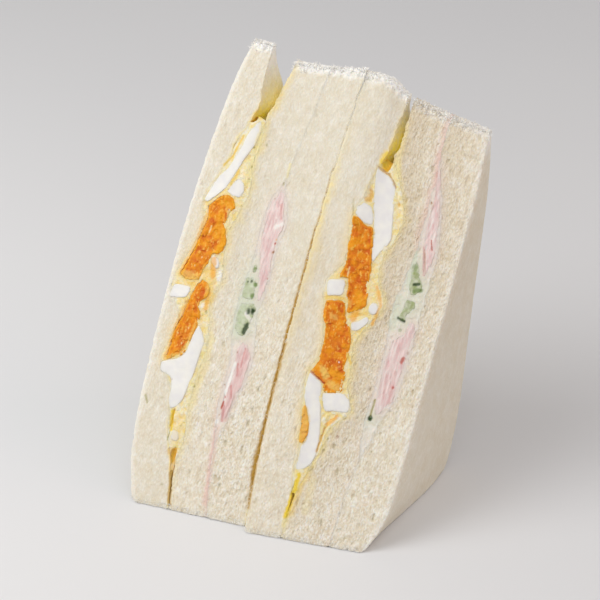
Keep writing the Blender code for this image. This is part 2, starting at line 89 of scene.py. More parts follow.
# Faces between the layers: (height, x) points on the cut, x at the back, and how far they
# swell out there between top and foot
FACES = {
    "a_outer": ([
        (0.0, -77.2), (0.1, -81.6), (0.25, -83.6), (0.5, -84.1), (0.7, -83.0), (0.9, -80.0),
        (1.0, -76.6)], -78.6, 0.0),
    "a_egg_left": ([
        (0.0, -64.6), (0.05, -65.9), (0.1, -67.9), (0.15, -70.4), (0.2, -72.5), (0.25, -74.4),
        (0.3, -79.6), (0.35, -78.4), (0.4, -77.2), (0.45, -82.3), (0.5, -81.4), (0.55, -78.7),
        (0.6, -77.3), (0.65, -79.4), (0.7, -76.7), (0.75, -74.2), (0.8, -72.8), (0.85, -71.2),
        (0.9, -69.9), (1.0, -69.6)], -65.6, -0.75),
    "a_egg_right": ([
        (0.0, -63.9), (0.05, -64.9), (0.1, -66.0), (0.15, -65.4), (0.2, -66.2), (0.25, -66.6),
        (0.3, -66.4), (0.35, -65.7), (0.4, -66.9), (0.45, -68.2), (0.5, -66.7), (0.55, -67.8),
        (0.6, -68.2), (0.65, -66.6), (0.7, -65.1), (0.75, -66.2), (0.8, -65.8), (0.85, -65.5),
        (0.9, -64.4), (1.0, -61.7)], -65.6, 0.75),
    "a_ham_left": ([
        (0.0, -51.2), (0.05, -53.0), (0.1, -54.4), (0.15, -55.6), (0.2, -56.4), (0.25, -57.3),
        (0.35, -57.3), (0.4, -59.0), (0.5, -59.7), (0.55, -58.5), (0.65, -58.7), (0.7, -57.7),
        (0.75, -55.4), (0.85, -52.6), (1.0, -49.5)], -52.0, -0.65),
    "a_ham_right": ([
        (0.0, -51.1), (0.05, -52.8), (0.1, -53.9), (0.15, -54.4), (0.2, -53.4), (0.25, -52.3),
        (0.3, -50.5), (0.35, -49.9), (0.4, -51.0), (0.45, -52.4), (0.5, -51.3), (0.6, -51.6),
        (0.65, -50.6), (0.7, -52.4), (0.75, -53.8), (0.85, -52.4), (1.0, -49.4)], -52.0, 0.65),
    "a_inner": ([
        (0.0, -38.2), (0.1, -39.7), (0.3, -41.1), (0.5, -41.2), (0.7, -40.6), (0.85, -39.3),
        (1.0, -37.8)], -38.3, 0.0),
    "b_inner": ([
        (0.0, -37.4), (0.1, -39.0), (0.3, -40.7), (0.5, -40.8), (0.7, -40.2), (0.85, -38.8),
        (1.0, -37.2)], -37.9, 0.0),
    "b_egg_left": ([
        (0.0, -26.0), (0.05, -26.0), (0.1, -26.4), (0.15, -27.1), (0.2, -27.7), (0.25, -29.2),
        (0.3, -30.5), (0.35, -31.0), (0.4, -28.8), (0.45, -29.5), (0.5, -31.7), (0.55, -32.6),
        (0.6, -28.6), (0.65, -29.3), (0.7, -30.2), (0.75, -27.8), (0.8, -26.6), (0.85, -25.5),
        (0.9, -24.4), (1.0, -22.8)], -24.2, -0.75),
    "b_egg_right": ([
        (0.0, -25.9), (0.05, -25.5), (0.1, -24.5), (0.15, -23.2), (0.2, -21.1), (0.25, -20.3),
        (0.3, -15.2), (0.35, -17.8), (0.4, -18.6), (0.45, -19.3), (0.5, -16.2), (0.55, -13.7),
        (0.6, -17.4), (0.65, -17.5), (0.7, -15.4), (0.75, -14.8), (0.8, -17.6), (0.85, -20.9),
        (0.9, -21.4), (1.0, -21.0)], -24.2, 0.75),
    "b_ham_left": ([
        (0.0, -10.5), (0.1, -9.9), (0.2, -9.2), (0.3, -9.8), (0.45, -9.6), (0.55, -10.6), (0.65, -8.7),
        (0.75, -7.9), (0.85, -8.6), (0.9, -9.3), (0.95, -8.7), (1.0, -8.2)], -10.6, -0.65),
    "b_ham_right": ([
        (0.0, -10.5), (0.1, -9.9), (0.2, -7.9), (0.25, -6.4), (0.3, -5.2), (0.35, -2.4), (0.45, -1.6),
        (0.55, -1.7), (0.7, -1.6), (0.75, -2.7), (0.8, -4.1), (0.85, -5.5), (0.9, -7.6), (0.95, -8.7),
        (1.0, -8.2)], -10.6, 0.65),
    "b_outer": ([
        (0.0, 0.3), (0.05, 3.2), (0.12, 5.0), (0.5, 5.5), (0.8, 5.6), (1.0, 4.3)], 4.9, 0.0),
}
BREADS = [
    ("bread_a1", "a", "a_outer", "a_egg_left"),
    ("bread_a2", "a", "a_egg_right", "a_ham_left"),
    ("bread_a3", "a", "a_ham_right", "a_inner"),
    ("bread_b1", "b", "b_inner", "b_egg_left"),
    ("bread_b2", "b", "b_egg_right", "b_ham_left"),
    ("bread_b3", "b", "b_ham_right", "b_outer"),
]
# Fillings: the spread's node, its half, faces, low and high ends and the slot that picks its material
LAYERS = {
    "a_egg": ("egg_mash_a", "a", "a_egg_left", "a_egg_right", 0.05, 0.85, "egg_mash"),
    "a_ham": ("cream_a", "a", "a_ham_left", "a_ham_right", 0.15, 0.75, "cream"),
    "b_egg": ("egg_mash_b", "b", "b_egg_left", "b_egg_right", 0.1, 0.85, "egg_mash"),
    "b_ham": ("cream_b", "b", "b_ham_left", "b_ham_right", 0.2, 0.85, "cream"),
}
# Outlines of the pieces of filling as (x, height) points on the cut
PIECES = {
    "egg_white_a1": [
        (-67.7, 0.845), (-66.3, 0.834), (-67.0, 0.795), (-68.7, 0.765), (-70.8, 0.722), (-72.8, 0.684),
        (-74.6, 0.668), (-77.6, 0.647), (-79.0, 0.65), (-76.1, 0.704), (-73.4, 0.73), (-71.2, 0.775),
        (-70.3, 0.808)],
    "egg_white_a2": [
        (-69.7, 0.713), (-67.4, 0.705), (-66.8, 0.69), (-67.8, 0.673), (-70.4, 0.671), (-72.3, 0.678),
        (-71.0, 0.696)],
    "egg_yolk_a1": [
        (-74.3, 0.664), (-72.4, 0.67), (-69.9, 0.666), (-68.5, 0.65), (-70.2, 0.637), (-70.6, 0.605),
        (-69.6, 0.596), (-68.8, 0.57), (-69.4, 0.548), (-72.2, 0.543), (-72.7, 0.52), (-73.9, 0.508),
        (-74.2, 0.482), (-79.0, 0.476), (-81.0, 0.487), (-80.0, 0.506), (-78.4, 0.54), (-77.4, 0.58),
        (-76.3, 0.615), (-77.5, 0.636)],
    "egg_white_a3": [
        (-71.4, 0.539), (-70.4, 0.54), (-68.7, 0.531), (-68.4, 0.519), (-69.3, 0.514), (-71.3, 0.526)],
    "egg_white_a4": [
        (-81.4, 0.463), (-76.2, 0.464), (-75.7, 0.455), (-76.5, 0.441), (-78.9, 0.436), (-82.2, 0.434),
        (-82.0, 0.449)],
    "egg_yolk_a2": [
        (-72.7, 0.487), (-71.4, 0.482), (-70.1, 0.471), (-70.0, 0.455), (-71.6, 0.443), (-72.1, 0.427),
        (-71.0, 0.417), (-70.5, 0.397), (-71.5, 0.372), (-72.2, 0.335), (-73.3, 0.321), (-75.6, 0.314),
        (-78.2, 0.304), (-78.0, 0.33), (-77.8, 0.36), (-77.2, 0.385), (-76.4, 0.402), (-76.0, 0.425),
        (-75.5, 0.445), (-74.2, 0.472)],
    "egg_white_a5": [
        (-69.9, 0.391), (-68.4, 0.379), (-66.7, 0.362), (-67.2, 0.335), (-67.5, 0.295), (-68.2, 0.262),
        (-69.0, 0.228), (-70.3, 0.213), (-72.2, 0.206), (-73.5, 0.222), (-73.5, 0.25), (-74.8, 0.272),
        (-78.8, 0.278), (-79.2, 0.298), (-75.6, 0.307), (-73.0, 0.316), (-71.8, 0.331), (-70.9, 0.37)],
    "egg_white_a6": [
        (-69.5, 0.165), (-67.6, 0.163), (-66.9, 0.15), (-67.6, 0.143), (-69.4, 0.146)],
    "ham_a1": [
        (-55.3, 0.724), (-54.0, 0.714), (-53.1, 0.698), (-52.3, 0.67), (-51.2, 0.645), (-52.0, 0.625),
        (-52.4, 0.595), (-52.3, 0.56), (-51.7, 0.535), (-52.0, 0.505), (-52.5, 0.476), (-53.4, 0.476),
        (-54.3, 0.51), (-54.9, 0.525), (-55.6, 0.545), (-56.9, 0.58), (-57.7, 0.615), (-58.0, 0.66),
        (-57.5, 0.69), (-56.4, 0.705)],
    "ham_a2": [
        (-54.8, 0.384), (-52.8, 0.379), (-51.4, 0.362), (-50.5, 0.35), (-51.0, 0.325), (-51.1, 0.287),
        (-52.6, 0.268), (-53.3, 0.235), (-53.9, 0.211), (-55.2, 0.211), (-55.9, 0.23), (-56.3, 0.26),
        (-56.7, 0.285), (-56.2, 0.31), (-55.6, 0.34), (-55.8, 0.365)],
    "cucumber_a1": [
        (-58.9, 0.522), (-57.2, 0.523), (-55.4, 0.516), (-55.0, 0.505), (-55.1, 0.478), (-56.6, 0.475),
        (-58.9, 0.479), (-59.2, 0.5)],
    "cucumber_a2": [
        (-58.6, 0.468), (-56.8, 0.466), (-54.2, 0.469), (-53.4, 0.458), (-53.6, 0.44), (-54.0, 0.426),
        (-54.3, 0.41), (-55.2, 0.396), (-56.4, 0.397), (-58.2, 0.404), (-58.9, 0.43)],
    "cucumber_a3": [
        (-57.5, 0.552), (-56.6, 0.551), (-56.3, 0.54), (-56.9, 0.533), (-57.6, 0.536)],
    "egg_white_b1": [
        (-26.1, 0.819), (-22.6, 0.819), (-20.9, 0.812), (-19.5, 0.8), (-19.0, 0.775), (-18.2, 0.74),
        (-17.3, 0.71), (-16.8, 0.69), (-17.6, 0.675), (-19.0, 0.66), (-20.4, 0.632), (-21.0, 0.64),
        (-21.6, 0.665), (-22.3, 0.695), (-23.0, 0.707), (-23.4, 0.725), (-24.6, 0.743), (-25.2, 0.765),
        (-25.7, 0.79), (-26.2, 0.81)],
    "egg_white_b2": [
        (-27.6, 0.734), (-25.3, 0.739), (-23.9, 0.722), (-23.6, 0.706), (-26.0, 0.699), (-29.2, 0.704),
        (-29.0, 0.722)],
    "egg_yolk_b1": [
        (-29.6, 0.697), (-28.2, 0.699), (-26.0, 0.695), (-23.6, 0.7), (-22.9, 0.69), (-22.2, 0.665),
        (-21.5, 0.64), (-20.7, 0.615), (-20.3, 0.575), (-19.4, 0.556), (-19.3, 0.536), (-20.4, 0.526),
        (-22.6, 0.516), (-24.0, 0.506), (-24.5, 0.528), (-25.2, 0.538), (-25.7, 0.56), (-26.2, 0.577),
        (-27.9, 0.571), (-29.2, 0.566), (-28.5, 0.58), (-28.0, 0.6), (-28.3, 0.625), (-28.9, 0.64),
        (-28.9, 0.665)],
    "egg_white_b3": [
        (-32.0, 0.553), (-29.3, 0.558), (-27.3, 0.564), (-26.9, 0.557), (-26.7, 0.541), (-27.4, 0.531),
        (-31.0, 0.521), (-31.7, 0.536)],
    "egg_yolk_b2": [
        (-31.1, 0.509), (-28.6, 0.516), (-26.0, 0.524), (-25.3, 0.521), (-25.0, 0.503), (-23.8, 0.488),
        (-22.7, 0.482), (-21.5, 0.463), (-20.8, 0.447), (-20.5, 0.425), (-20.9, 0.41), (-20.5, 0.39),
        (-19.8, 0.378), (-20.0, 0.36), (-19.7, 0.338), (-22.4, 0.332), (-24.6, 0.327), (-25.4, 0.344),
        (-27.6, 0.351), (-30.1, 0.358), (-29.2, 0.374), (-28.3, 0.386), (-28.5, 0.405), (-28.3, 0.425),
        (-28.9, 0.447), (-29.4, 0.463), (-30.4, 0.475), (-30.9, 0.493)],
    "egg_white_b4": [
        (-22.0, 0.489), (-20.0, 0.495), (-17.8, 0.512), (-17.0, 0.506), (-17.6, 0.495), (-19.4, 0.478),
        (-21.3, 0.474)],
    "egg_white_b5": [
        (-17.9, 0.534), (-17.3, 0.543), (-16.0, 0.546), (-15.1, 0.536), (-15.4, 0.524), (-16.6, 0.521),
        (-17.6, 0.525)],
    "egg_white_b6": [
        (-30.1, 0.3545), (-28.0, 0.347), (-25.9, 0.34), (-25.3, 0.315), (-24.4, 0.29), (-23.3, 0.263),
        (-22.7, 0.24), (-22.3, 0.21), (-22.1, 0.19), (-22.7, 0.173), (-24.2, 0.159), (-26.0, 0.151),
        (-26.9, 0.153), (-26.6, 0.175), (-27.0, 0.198), (-26.1, 0.215), (-25.8, 0.235), (-26.2, 0.252),
        (-27.2, 0.268), (-28.7, 0.286), (-29.8, 0.302), (-30.3, 0.33)],
    "egg_white_b7": [
        (-24.7, 0.3235), (-22.4, 0.328), (-19.8, 0.334), (-18.4, 0.334), (-16.4, 0.323), (-15.7, 0.309),
        (-16.0, 0.298), (-20.2, 0.295), (-22.7, 0.289), (-23.7, 0.3), (-24.5, 0.312)],
    "egg_yolk_b3": [
        (-29.3, 0.286), (-28.8, 0.279), (-27.6, 0.263), (-26.7, 0.25), (-26.3, 0.235), (-26.6, 0.218),
        (-27.4, 0.206), (-28.1, 0.208), (-28.5, 0.235), (-29.2, 0.26)],
    "ham_b1": [
        (-8.6, 0.9), (-7.6, 0.882), (-6.3, 0.855), (-5.4, 0.825), (-4.6, 0.795), (-3.6, 0.765),
        (-3.0, 0.735), (-2.2, 0.708), (-2.3, 0.685), (-2.8, 0.655), (-3.6, 0.636), (-4.5, 0.65),
        (-5.4, 0.675), (-6.4, 0.705), (-6.9, 0.74), (-7.1, 0.775), (-6.8, 0.8), (-7.3, 0.84),
        (-8.3, 0.875)],
    "ham_b2": [
        (-4.4, 0.53), (-2.3, 0.525), (-1.8, 0.5), (-2.4, 0.47), (-2.4, 0.43), (-2.7, 0.4), (-3.1, 0.365),
        (-3.0, 0.345), (-4.4, 0.335), (-5.6, 0.318), (-6.9, 0.305), (-7.6, 0.313), (-8.2, 0.34),
        (-8.6, 0.385), (-8.7, 0.43), (-8.2, 0.475), (-6.8, 0.488), (-5.2, 0.495)],
    "cucumber_b1": [
        (-7.4, 0.667), (-6.6, 0.662), (-5.8, 0.645), (-4.5, 0.628), (-3.6, 0.618), (-3.5, 0.604),
        (-4.6, 0.592), (-6.4, 0.588), (-7.2, 0.6), (-7.9, 0.635)],
    "cucumber_b2": [
        (-7.2, 0.576), (-4.6, 0.576), (-4.1, 0.565), (-4.8, 0.55), (-6.0, 0.54), (-6.1, 0.527),
        (-8.2, 0.53), (-7.6, 0.545)],
    "cucumber_b3": [
        (-8.9, 0.3), (-7.8, 0.301), (-7.7, 0.294), (-8.2, 0.291), (-9.0, 0.294)],
}
# Marks painted over bread, fillings and pieces, by half and tint: radius in millimetres,
# strength, and the (x, height) points of a spot or of a line
MARKS = {
    ("a", "pink"): [
        (0.9, 0.4, (-55.4, 0.19), (-54.8, 0.15), (-54.0, 0.08), (-53.0, 0.03))],
    ("a", "rose"): [
        (1.2, 0.3, (-52.6, 0.36), (-52.9, 0.3), (-54.2, 0.22)), (0.3, 0.8, (-53.2, 0.37), (-53.1, 0.33)),
        (0.3, 0.8, (-54.4, 0.335), (-53.6, 0.31)), (0.35, 0.8, (-54.6, 0.285), (-53.6, 0.26)),
        (0.35, 0.7, (-55.3, 0.24), (-54.6, 0.21)), (0.4, 0.5, (-53.8, 0.69), (-52.9, 0.66))],
    ("a", "sage"): [
        (1.9, 0.5, (-57.0, 0.51), (-57.3, 0.46), (-57.0, 0.41))],
    ("a", "cream"): [
        (1.0, 0.7, (-66.3, 0.83), (-66.6, 0.77), (-66.6, 0.715)), (0.5, 0.6, (-69.8, 0.64), (-68.9, 0.6)),
        (0.22, 0.7, (-74.7, 0.53)), (0.22, 0.7, (-76.3, 0.51)), (0.2, 0.7, (-74.1, 0.6), (-74.4, 0.585)),
        (0.22, 0.7, (-76.0, 0.365)), (0.2, 0.7, (-73.0, 0.38)), (0.22, 0.7, (-74.0, 0.345)),
        (1.6, 0.45, (-65.4, 0.37), (-65.2, 0.3), (-66.3, 0.23)), (0.4, 0.6, (-54.5, 0.75), (-54.5, 0.78))],
    ("a", "yellow"): [
        (0.35, 0.9, (-75.4, 0.73), (-73.3, 0.752), (-71.6, 0.8)),
        (0.45, 0.9, (-70.0, 0.725), (-71.5, 0.695)), (1.0, 0.6, (-80.0, 0.486), (-75.0, 0.486)),
        (1.3, 0.5, (-72.5, 0.505), (-69.0, 0.485)), (0.5, 0.8, (-77.0, 0.47), (-75.0, 0.47)),
        (0.5, 0.5, (-77.5, 0.31), (-74.0, 0.32), (-71.8, 0.35), (-71.2, 0.39)),
        (1.3, 0.6, (-69.5, 0.475), (-68.5, 0.45)), (1.5, 0.3, (-68.5, 0.19), (-67.8, 0.15))],
    ("a", "gold"): [
        (1.2, 0.6, (-73.0, 0.655), (-70.0, 0.655)),
        (0.8, 0.9, (-69.9, 0.595), (-69.2, 0.57), (-70.3, 0.55)),
        (0.8, 0.5, (-76.5, 0.62), (-78.3, 0.54), (-80.3, 0.49)),
        (0.7, 0.5, (-75.6, 0.43), (-77.3, 0.38), (-78.0, 0.31)), (1.1, 0.6, (-72.0, 0.63), (-71.5, 0.58)),
        (0.9, 0.7, (-70.6, 0.53), (-69.6, 0.5)), (0.8, 0.6, (-69.6, 0.455), (-69.4, 0.43)),
        (0.25, 0.5, (-52.6, 0.613))],
    ("a", "white"): [
        (0.75, 0.8, (-67.5, 0.495), (-67.5, 0.505)), (0.6, 0.7, (-70.4, 0.432)), (0.4, 0.5, (-54.2, 0.66)),
        (0.5, 0.5, (-53.8, 0.64), (-51.7, 0.65)), (0.5, 0.5, (-56.0, 0.445), (-54.0, 0.433)),
        (0.5, 0.8, (-55.9, 0.27), (-55.2, 0.335)), (0.5, 0.9, (-56.2, 0.205))],
    ("a", "mustard"): [
        (0.4, 0.4, (-71.5, 0.655)), (0.9, 0.5, (-68.4, 0.119), (-67.3, 0.117)),
        (0.8, 0.6, (-67.6, 0.108), (-66.8, 0.1), (-66.5, 0.08))],
    ("a", "olive"): [
        (0.3, 0.8, (-67.3, 0.785)), (0.3, 0.8, (-66.6, 0.745)), (0.28, 0.7, (-66.3, 0.72)),
        (0.28, 0.6, (-66.4, 0.66)), (0.3, 0.6, (-63.8, 0.805)), (0.3, 0.5, (-67.3, 0.525)),
        (0.35, 0.7, (-68.8, 0.42)), (0.3, 0.6, (-66.3, 0.265)), (0.3, 0.5, (-63.1, 0.275)),
        (0.2, 0.7, (-70.3, 0.165), (-70.5, 0.14)), (0.3, 0.6, (-81.5, 0.22), (-80.3, 0.207)),
        (0.3, 0.35, (-75.7, 0.224)), (0.25, 0.35, (-75.6, 0.128)), (0.3, 0.4, (-68.5, 0.047)),
        (0.35, 0.6, (-55.0, 0.735))],
    ("a", "brown"): [
        (0.3, 0.7, (-76.2, 0.43)), (0.25, 0.4, (-74.1, 0.266)), (0.35, 0.8, (-52.5, 0.585)),
        (0.22, 0.5, (-56.6, 0.7)), (0.22, 0.6, (-56.9, 0.285)), (0.22, 0.6, (-55.4, 0.36)),
        (0.22, 0.5, (-56.0, 0.22))],
    ("a", "red"): [
        (0.5, 0.3, (-72.2, 0.555)), (0.4, 0.85, (-52.6, 0.605)), (0.2, 0.5, (-52.1, 0.527)),
        (0.25, 0.6, (-55.5, 0.26)), (0.25, 0.9, (-55.7, 0.25), (-55.9, 0.235))],
    ("a", "green"): [
        (0.6, 0.9, (-55.5, 0.51)), (0.6, 0.9, (-55.6, 0.485)), (0.6, 0.7, (-57.0, 0.543))],
    ("a", "dark"): [
        (0.35, 0.8, (-58.2, 0.513)), (0.35, 0.8, (-57.0, 0.515)), (0.65, 0.95, (-55.4, 0.45)),
        (0.7, 1.0, (-54.1, 0.453)), (0.7, 0.95, (-54.9, 0.42), (-55.2, 0.405))],
    ("a", "bright"): [
        (0.6, 0.9, (-71.2, 0.2), (-70.3, 0.165)), (0.8, 0.7, (-69.4, 0.85), (-67.6, 0.855))],
    # Painted shade along the foot of the egg gap and along the seam between the halves
    ("a", "gap_shade"): [
        (0.6, 0.9, (-66.4, 0.075), (-65.7, 0.05), (-64.4, 0.01)), (1.2, 0.9, (-38.4, 0.05), (-39.4, 0.1)),
        (1.1, 1.0, (-39.8, 0.1), (-40.3, 0.17)), (0.8, 1.0, (-40.3, 0.17), (-40.5, 0.2)),
        (0.6, 1.0, (-40.5, 0.2), (-40.9, 0.3), (-40.9, 0.4), (-40.8, 0.5)),
        (0.5, 0.9, (-40.8, 0.5), (-40.6, 0.6), (-40.4, 0.65)),
        (0.4, 0.5, (-40.4, 0.65), (-40.1, 0.7), (-39.8, 0.78))],
    ("b", "rose"): [
        (0.4, 0.3, (-8.2, 0.87), (-6.4, 0.81), (-6.6, 0.79)), (0.3, 0.5, (-6.2, 0.7), (-4.0, 0.64)),
        (0.3, 0.25, (-7.6, 0.43), (-6.5, 0.36)), (0.5, 0.25, (-4.6, 0.41), (-4.0, 0.34))],
    ("b", "sage"): [
        (1.3, 0.4, (-9.6, 0.57), (-9.3, 0.51)), (0.7, 0.5, (-8.0, 0.68), (-7.9, 0.61))],
    ("b", "cream"): [
        (1.2, 0.8, (-21.0, 0.85), (-20.0, 0.83)), (0.9, 0.5, (-20.6, 0.83), (-21.0, 0.88), (-21.2, 0.94)),
        (0.25, 0.6, (-26.6, 0.595), (-26.5, 0.578)), (0.6, 0.8, (-26.0, 0.045), (-26.0, 0.03)),
        (1.3, 0.35, (-20.5, 0.07), (-20.8, 0.13))],
    ("b", "yellow"): [
        (0.8, 0.4, (-24.0, 0.53)), (0.45, 0.8, (-31.2, 0.515), (-28.0, 0.522), (-25.5, 0.53)),
        (0.7, 0.5, (-28.0, 0.482), (-26.8, 0.484)), (1.0, 0.75, (-26.5, 0.372), (-25.0, 0.362)),
        (0.9, 0.6, (-23.5, 0.35), (-21.0, 0.345)),
        (1.0, 0.6, (-28.7, 0.275), (-27.3, 0.24), (-27.6, 0.215)),
        (1.3, 0.4, (-23.3, 0.14), (-24.4, 0.1), (-25.2, 0.06)), (0.5, 0.7, (-23.0, 0.5), (-18.0, 0.52)),
        (0.9, 0.45, (-27.3, 0.262), (-27.2, 0.215)), (0.45, 1.0, (-20.5, 0.42), (-18.8, 0.405))],
    ("b", "gold"): [
        (1.0, 0.6, (-21.5, 0.55), (-20.5, 0.545)), (0.8, 0.7, (-24.0, 0.375), (-20.8, 0.372)),
        (0.45, 0.6, (-17.0, 0.58), (-14.4, 0.545), (-15.5, 0.5)), (1.0, 0.7, (-21.0, 0.54), (-21.8, 0.5)),
        (0.5, 0.7, (-18.5, 0.285), (-21.0, 0.26))],
    ("b", "white"): [
        (0.22, 0.8, (-22.3, 0.4)), (0.6, 0.4, (-7.8, 0.28), (-6.0, 0.275))],
    ("b", "mustard"): [
        (0.6, 0.6, (-26.4, 0.766), (-25.8, 0.75), (-27.0, 0.744)), (0.4, 0.6, (-17.0, 0.77)),
        (0.8, 0.5, (-28.2, 0.69), (-27.0, 0.68)), (0.3, 0.7, (-21.2, 0.25), (-22.0, 0.2))],
    ("b", "olive"): [
        (0.25, 0.4, (-30.9, 0.73), (-29.6, 0.7)), (0.3, 0.5, (-19.6, 0.23)), (0.3, 0.5, (-20.0, 0.205)),
        (0.3, 0.5, (-19.5, 0.17)), (0.3, 0.5, (-22.5, 0.155)), (0.2, 0.6, (-25.9, 0.125), (-26.2, 0.095)),
        (0.3, 0.7, (-8.6, 0.3), (-8.5, 0.34)), (0.3, 0.5, (-5.5, 0.225))],
    ("b", "brown"): [
        (0.22, 0.6, (-26.1, 0.823), (-22.6, 0.823), (-20.9, 0.816), (-19.4, 0.803)),
        (0.4, 0.6, (-16.8, 0.24)), (0.3, 0.9, (-7.4, 0.8)), (0.22, 0.45, (-5.7, 0.695), (-3.6, 0.645)),
        (0.3, 0.35, (-9.6, 0.7)), (0.4, 0.35, (-2.4, 0.46))],
    ("b", "red"): [
        # The red line along the foot of the lower yolk is painted shadow; the other red marks are the
        # yolk's and the ham's own red
        (1.4, 0.2, (-24.3, 0.435)), (0.28, 0.9, (-30.0, 0.357), (-27.6, 0.35), (-25.0, 0.345)),
        (0.4, 0.4, (-22.0, 0.39)), (0.2, 0.8, (-4.4, 0.72), (-3.5, 0.7)),
        (0.5, 0.75, (-3.3, 0.447), (-3.5, 0.437)), (0.4, 0.75, (-4.1, 0.377))],
    ("b", "green"): [
        (0.9, 0.5, (-7.2, 0.65)), (0.6, 0.8, (-5.5, 0.6), (-3.6, 0.605)), (0.5, 0.4, (-6.6, 0.505))],
    ("b", "dark"): [
        (0.38, 0.95, (-6.2, 0.612), (-4.4, 0.618)), (0.38, 0.85, (-8.2, 0.53), (-6.0, 0.527)),
        (0.65, 1.0, (-8.4, 0.297))],
    ("b", "bright"): [
        (0.9, 0.8, (-24.6, 0.86), (-25.4, 0.835)),
        (0.7, 1.0, (-25.3, 0.14), (-25.4, 0.11), (-25.8, 0.085), (-26.0, 0.05))],
    # Painted shade along the seam between the halves
    ("b", "gap_shade"): [
        (0.5, 0.8, (-38.2, 0.05), (-38.9, 0.1), (-39.9, 0.2), (-40.2, 0.3), (-40.3, 0.4))],
}
# Behind the cut, in millimetres, there are no marks beyond this depth
MARK_DEPTH = 8.0
# Tints of the marks as they look on screen, and how deep each is set into the cut, in millimetres
TINTS = {
    "pink": ((238, 200, 190), 0.0), "rose": ((216, 152, 148), 0.12), "sage": ((214, 222, 198), 0.0),
    "cream": ((250, 233, 172), 0.0), "yellow": ((247, 208, 110), 0.0),
    "gold": ((247, 172, 22), 0.0), "white": ((253, 250, 244), -0.12),
    "mustard": ((222, 162, 14), 0.35), "olive": ((158, 150, 62), 0.3),
    "brown": ((170, 112, 52), 0.3), "red": ((186, 66, 36), 0.15),
    "green": ((112, 138, 66), 0.05), "dark": ((42, 66, 22), 0.15),
    # The ochre tint is painted shade in the seam between the halves and at the foot of an egg gap
    "bright": ((248, 214, 74), 0.0), "gap_shade": ((190, 150, 70), 0.2),
}
# How far pieces of a kind run in, in millimetres, and the size of their ends beside the front
PIECE_ENDS = {"egg": (18.0, 0.7), "ham": (26.0, 0.85), "cucumber": (16.0, 0.7)}
# The share of the food's depth that a piece may take up
PIECE_REACH = 0.86
# How far pieces are pushed to the right and swollen over the model's, in millimetres
PUSHES = {"egg_yolk_a": (0.5, 0.0), "egg_yolk_b": (0.25, 0.2), "egg_white_b": (0.1, 0.15)}
# What bleeds out of the pieces of filling: kind of piece, reach in millimetres and colour
BLEEDS = {
    "near_yolk": ("egg_yolk", 2.4, (250, 217, 140)),
    "near_ham": ("ham", 1.8, (236, 214, 206)),
    "near_cucumber": ("cucumber", 2.8, (214, 220, 198)),
}

# How far the slices beside a layer close up where no filling shows, as (height, share) pairs
CLOSED = {
    "a_egg": [(0.0, 0.7), (0.05, 0.5), (0.1, 0.0)],
    "a_ham": [(0.15, 1.0), (0.2, 0.0), (0.7, 0.0), (0.75, 1.0)],
    "b_egg": [(0.04, 1.0), (0.1, 0.4), (0.13, 0.0)],
    "b_ham": [(0.2, 1.0), (0.24, 0.0), (0.82, 0.0), (0.86, 1.0)],
}
# The same for the seam between the two halves
HALVES_CLOSE = [(0.0, 0.0), (0.15, -0.3), (0.3, -0.6), (0.45, -0.2), (0.6, 0.1), (0.7, 0.5), (0.78, 1.0)]
# How deep that seam is open, in millimetres, as (height, depth) pairs
SEAM_DEPTH = [(0.0, 6.0), (0.3, 3.5), (0.5, 2.0), (0.75, 1.0)]
# How far faces in the gapes at the top lean to the right behind the cut, in millimetres
LEANS = {"a_egg_left": 3.0, "b_egg_left": 3.2}
LEAN_DEPTH = 8.0
# How far up the gapes open and close again
GAPE_START = (0.78, 0.86)
GAPE_END = (0.89, 0.98)
# Small shifts of faces to the right: face, middle height, half length up the cut and millimetres
NUDGES = [
    ("a_egg_left", 0.855, 0.045, 1.3), ("b_egg_left", 0.87, 0.05, 0.5),
    ("a_inner", 0.55, 0.3, 0.55), ("b_inner", 0.55, 0.3, 0.55),
    ("b_egg_right", 0.862, 0.018, -1.2), ("a_egg_right", 0.862, 0.018, -0.8),
]

# Lean of the cut from upright, and the length of the cut
CUT_LEAN = math.atan2(TIP_Y, CUT_RISE)
CUT_LENGTH = math.hypot(TIP_Y, CUT_RISE)

# Meshes: rows up the cut, columns across a slice, and steps from the cut to the back
ROWS = 384
COLUMNS = 36
STEPS_IN = 20
OUTER_STEPS_IN = 40
SPREAD_STEPS_IN = 12
# For the pieces: millimetres between points on the cut, and shares of the way in to the end
PIECE_STEP = 0.24
RING_DEPTHS = [0.02, 0.05, 0.1, 0.2, 0.4, 0.7, 1.0]
SHARP_ANGLE = math.radians(62.0)


def curve(points, place):
    """Values of a smooth line through (place, value) pairs, level past both ends."""
    places, values = np.array(points, float).T
    place = np.clip(place, places[0], places[-1])
    last = len(places) - 1
    first = np.clip(np.searchsorted(places, place, side="right") - 1, 0, last - 1)
    around = np.arange(last + 1)
    low = np.maximum(around - 1, 0)
    high = np.minimum(around + 1, last)
    slopes = (values[high] - values[low]) / (places[high] - places[low])
    step = places[first + 1] - places[first]
    s = (place - places[first]) / step
    rise = (3.0 - 2.0 * s) * s * s
    bend_0 = s * (1.0 - s) ** 2 * step * slopes[first]
    bend_1 = s * s * (s - 1.0) * step * slopes[first + 1]
    return values[first] + (values[first + 1] - values[first]) * rise + bend_0 + bend_1


def ease(low, high, value):
    """0 below low, 1 above high, and a smooth step between them."""
    s = np.clip((value - low) / (high - low), 0.0, 1.0)
    return s * s * (3.0 - 2.0 * s)


def back_y(height):
    """Y of the back side at a height from 0 to 1, with the heel worn round."""
    straight = HEEL_Y + (TIP_Y + TIP_THICK - HEEL_Y) * height
    drop = np.clip((HEEL_ROUND_RISE - height) / HEEL_ROUND_RISE, 0.0, 1.0)
    return straight - HEEL_ROUND_Y * (1.0 - np.sqrt(1.0 - drop * drop))


def front_y(half, x, height):
    """Y of the cut face."""
    return curve(FOOT_Y[half], x) * (1.0 - height) + TIP_Y * height


def full_depth(half, x, height):
    """Distance from the cut face to the back side."""
    return back_y(height) - front_y(half, x, height)


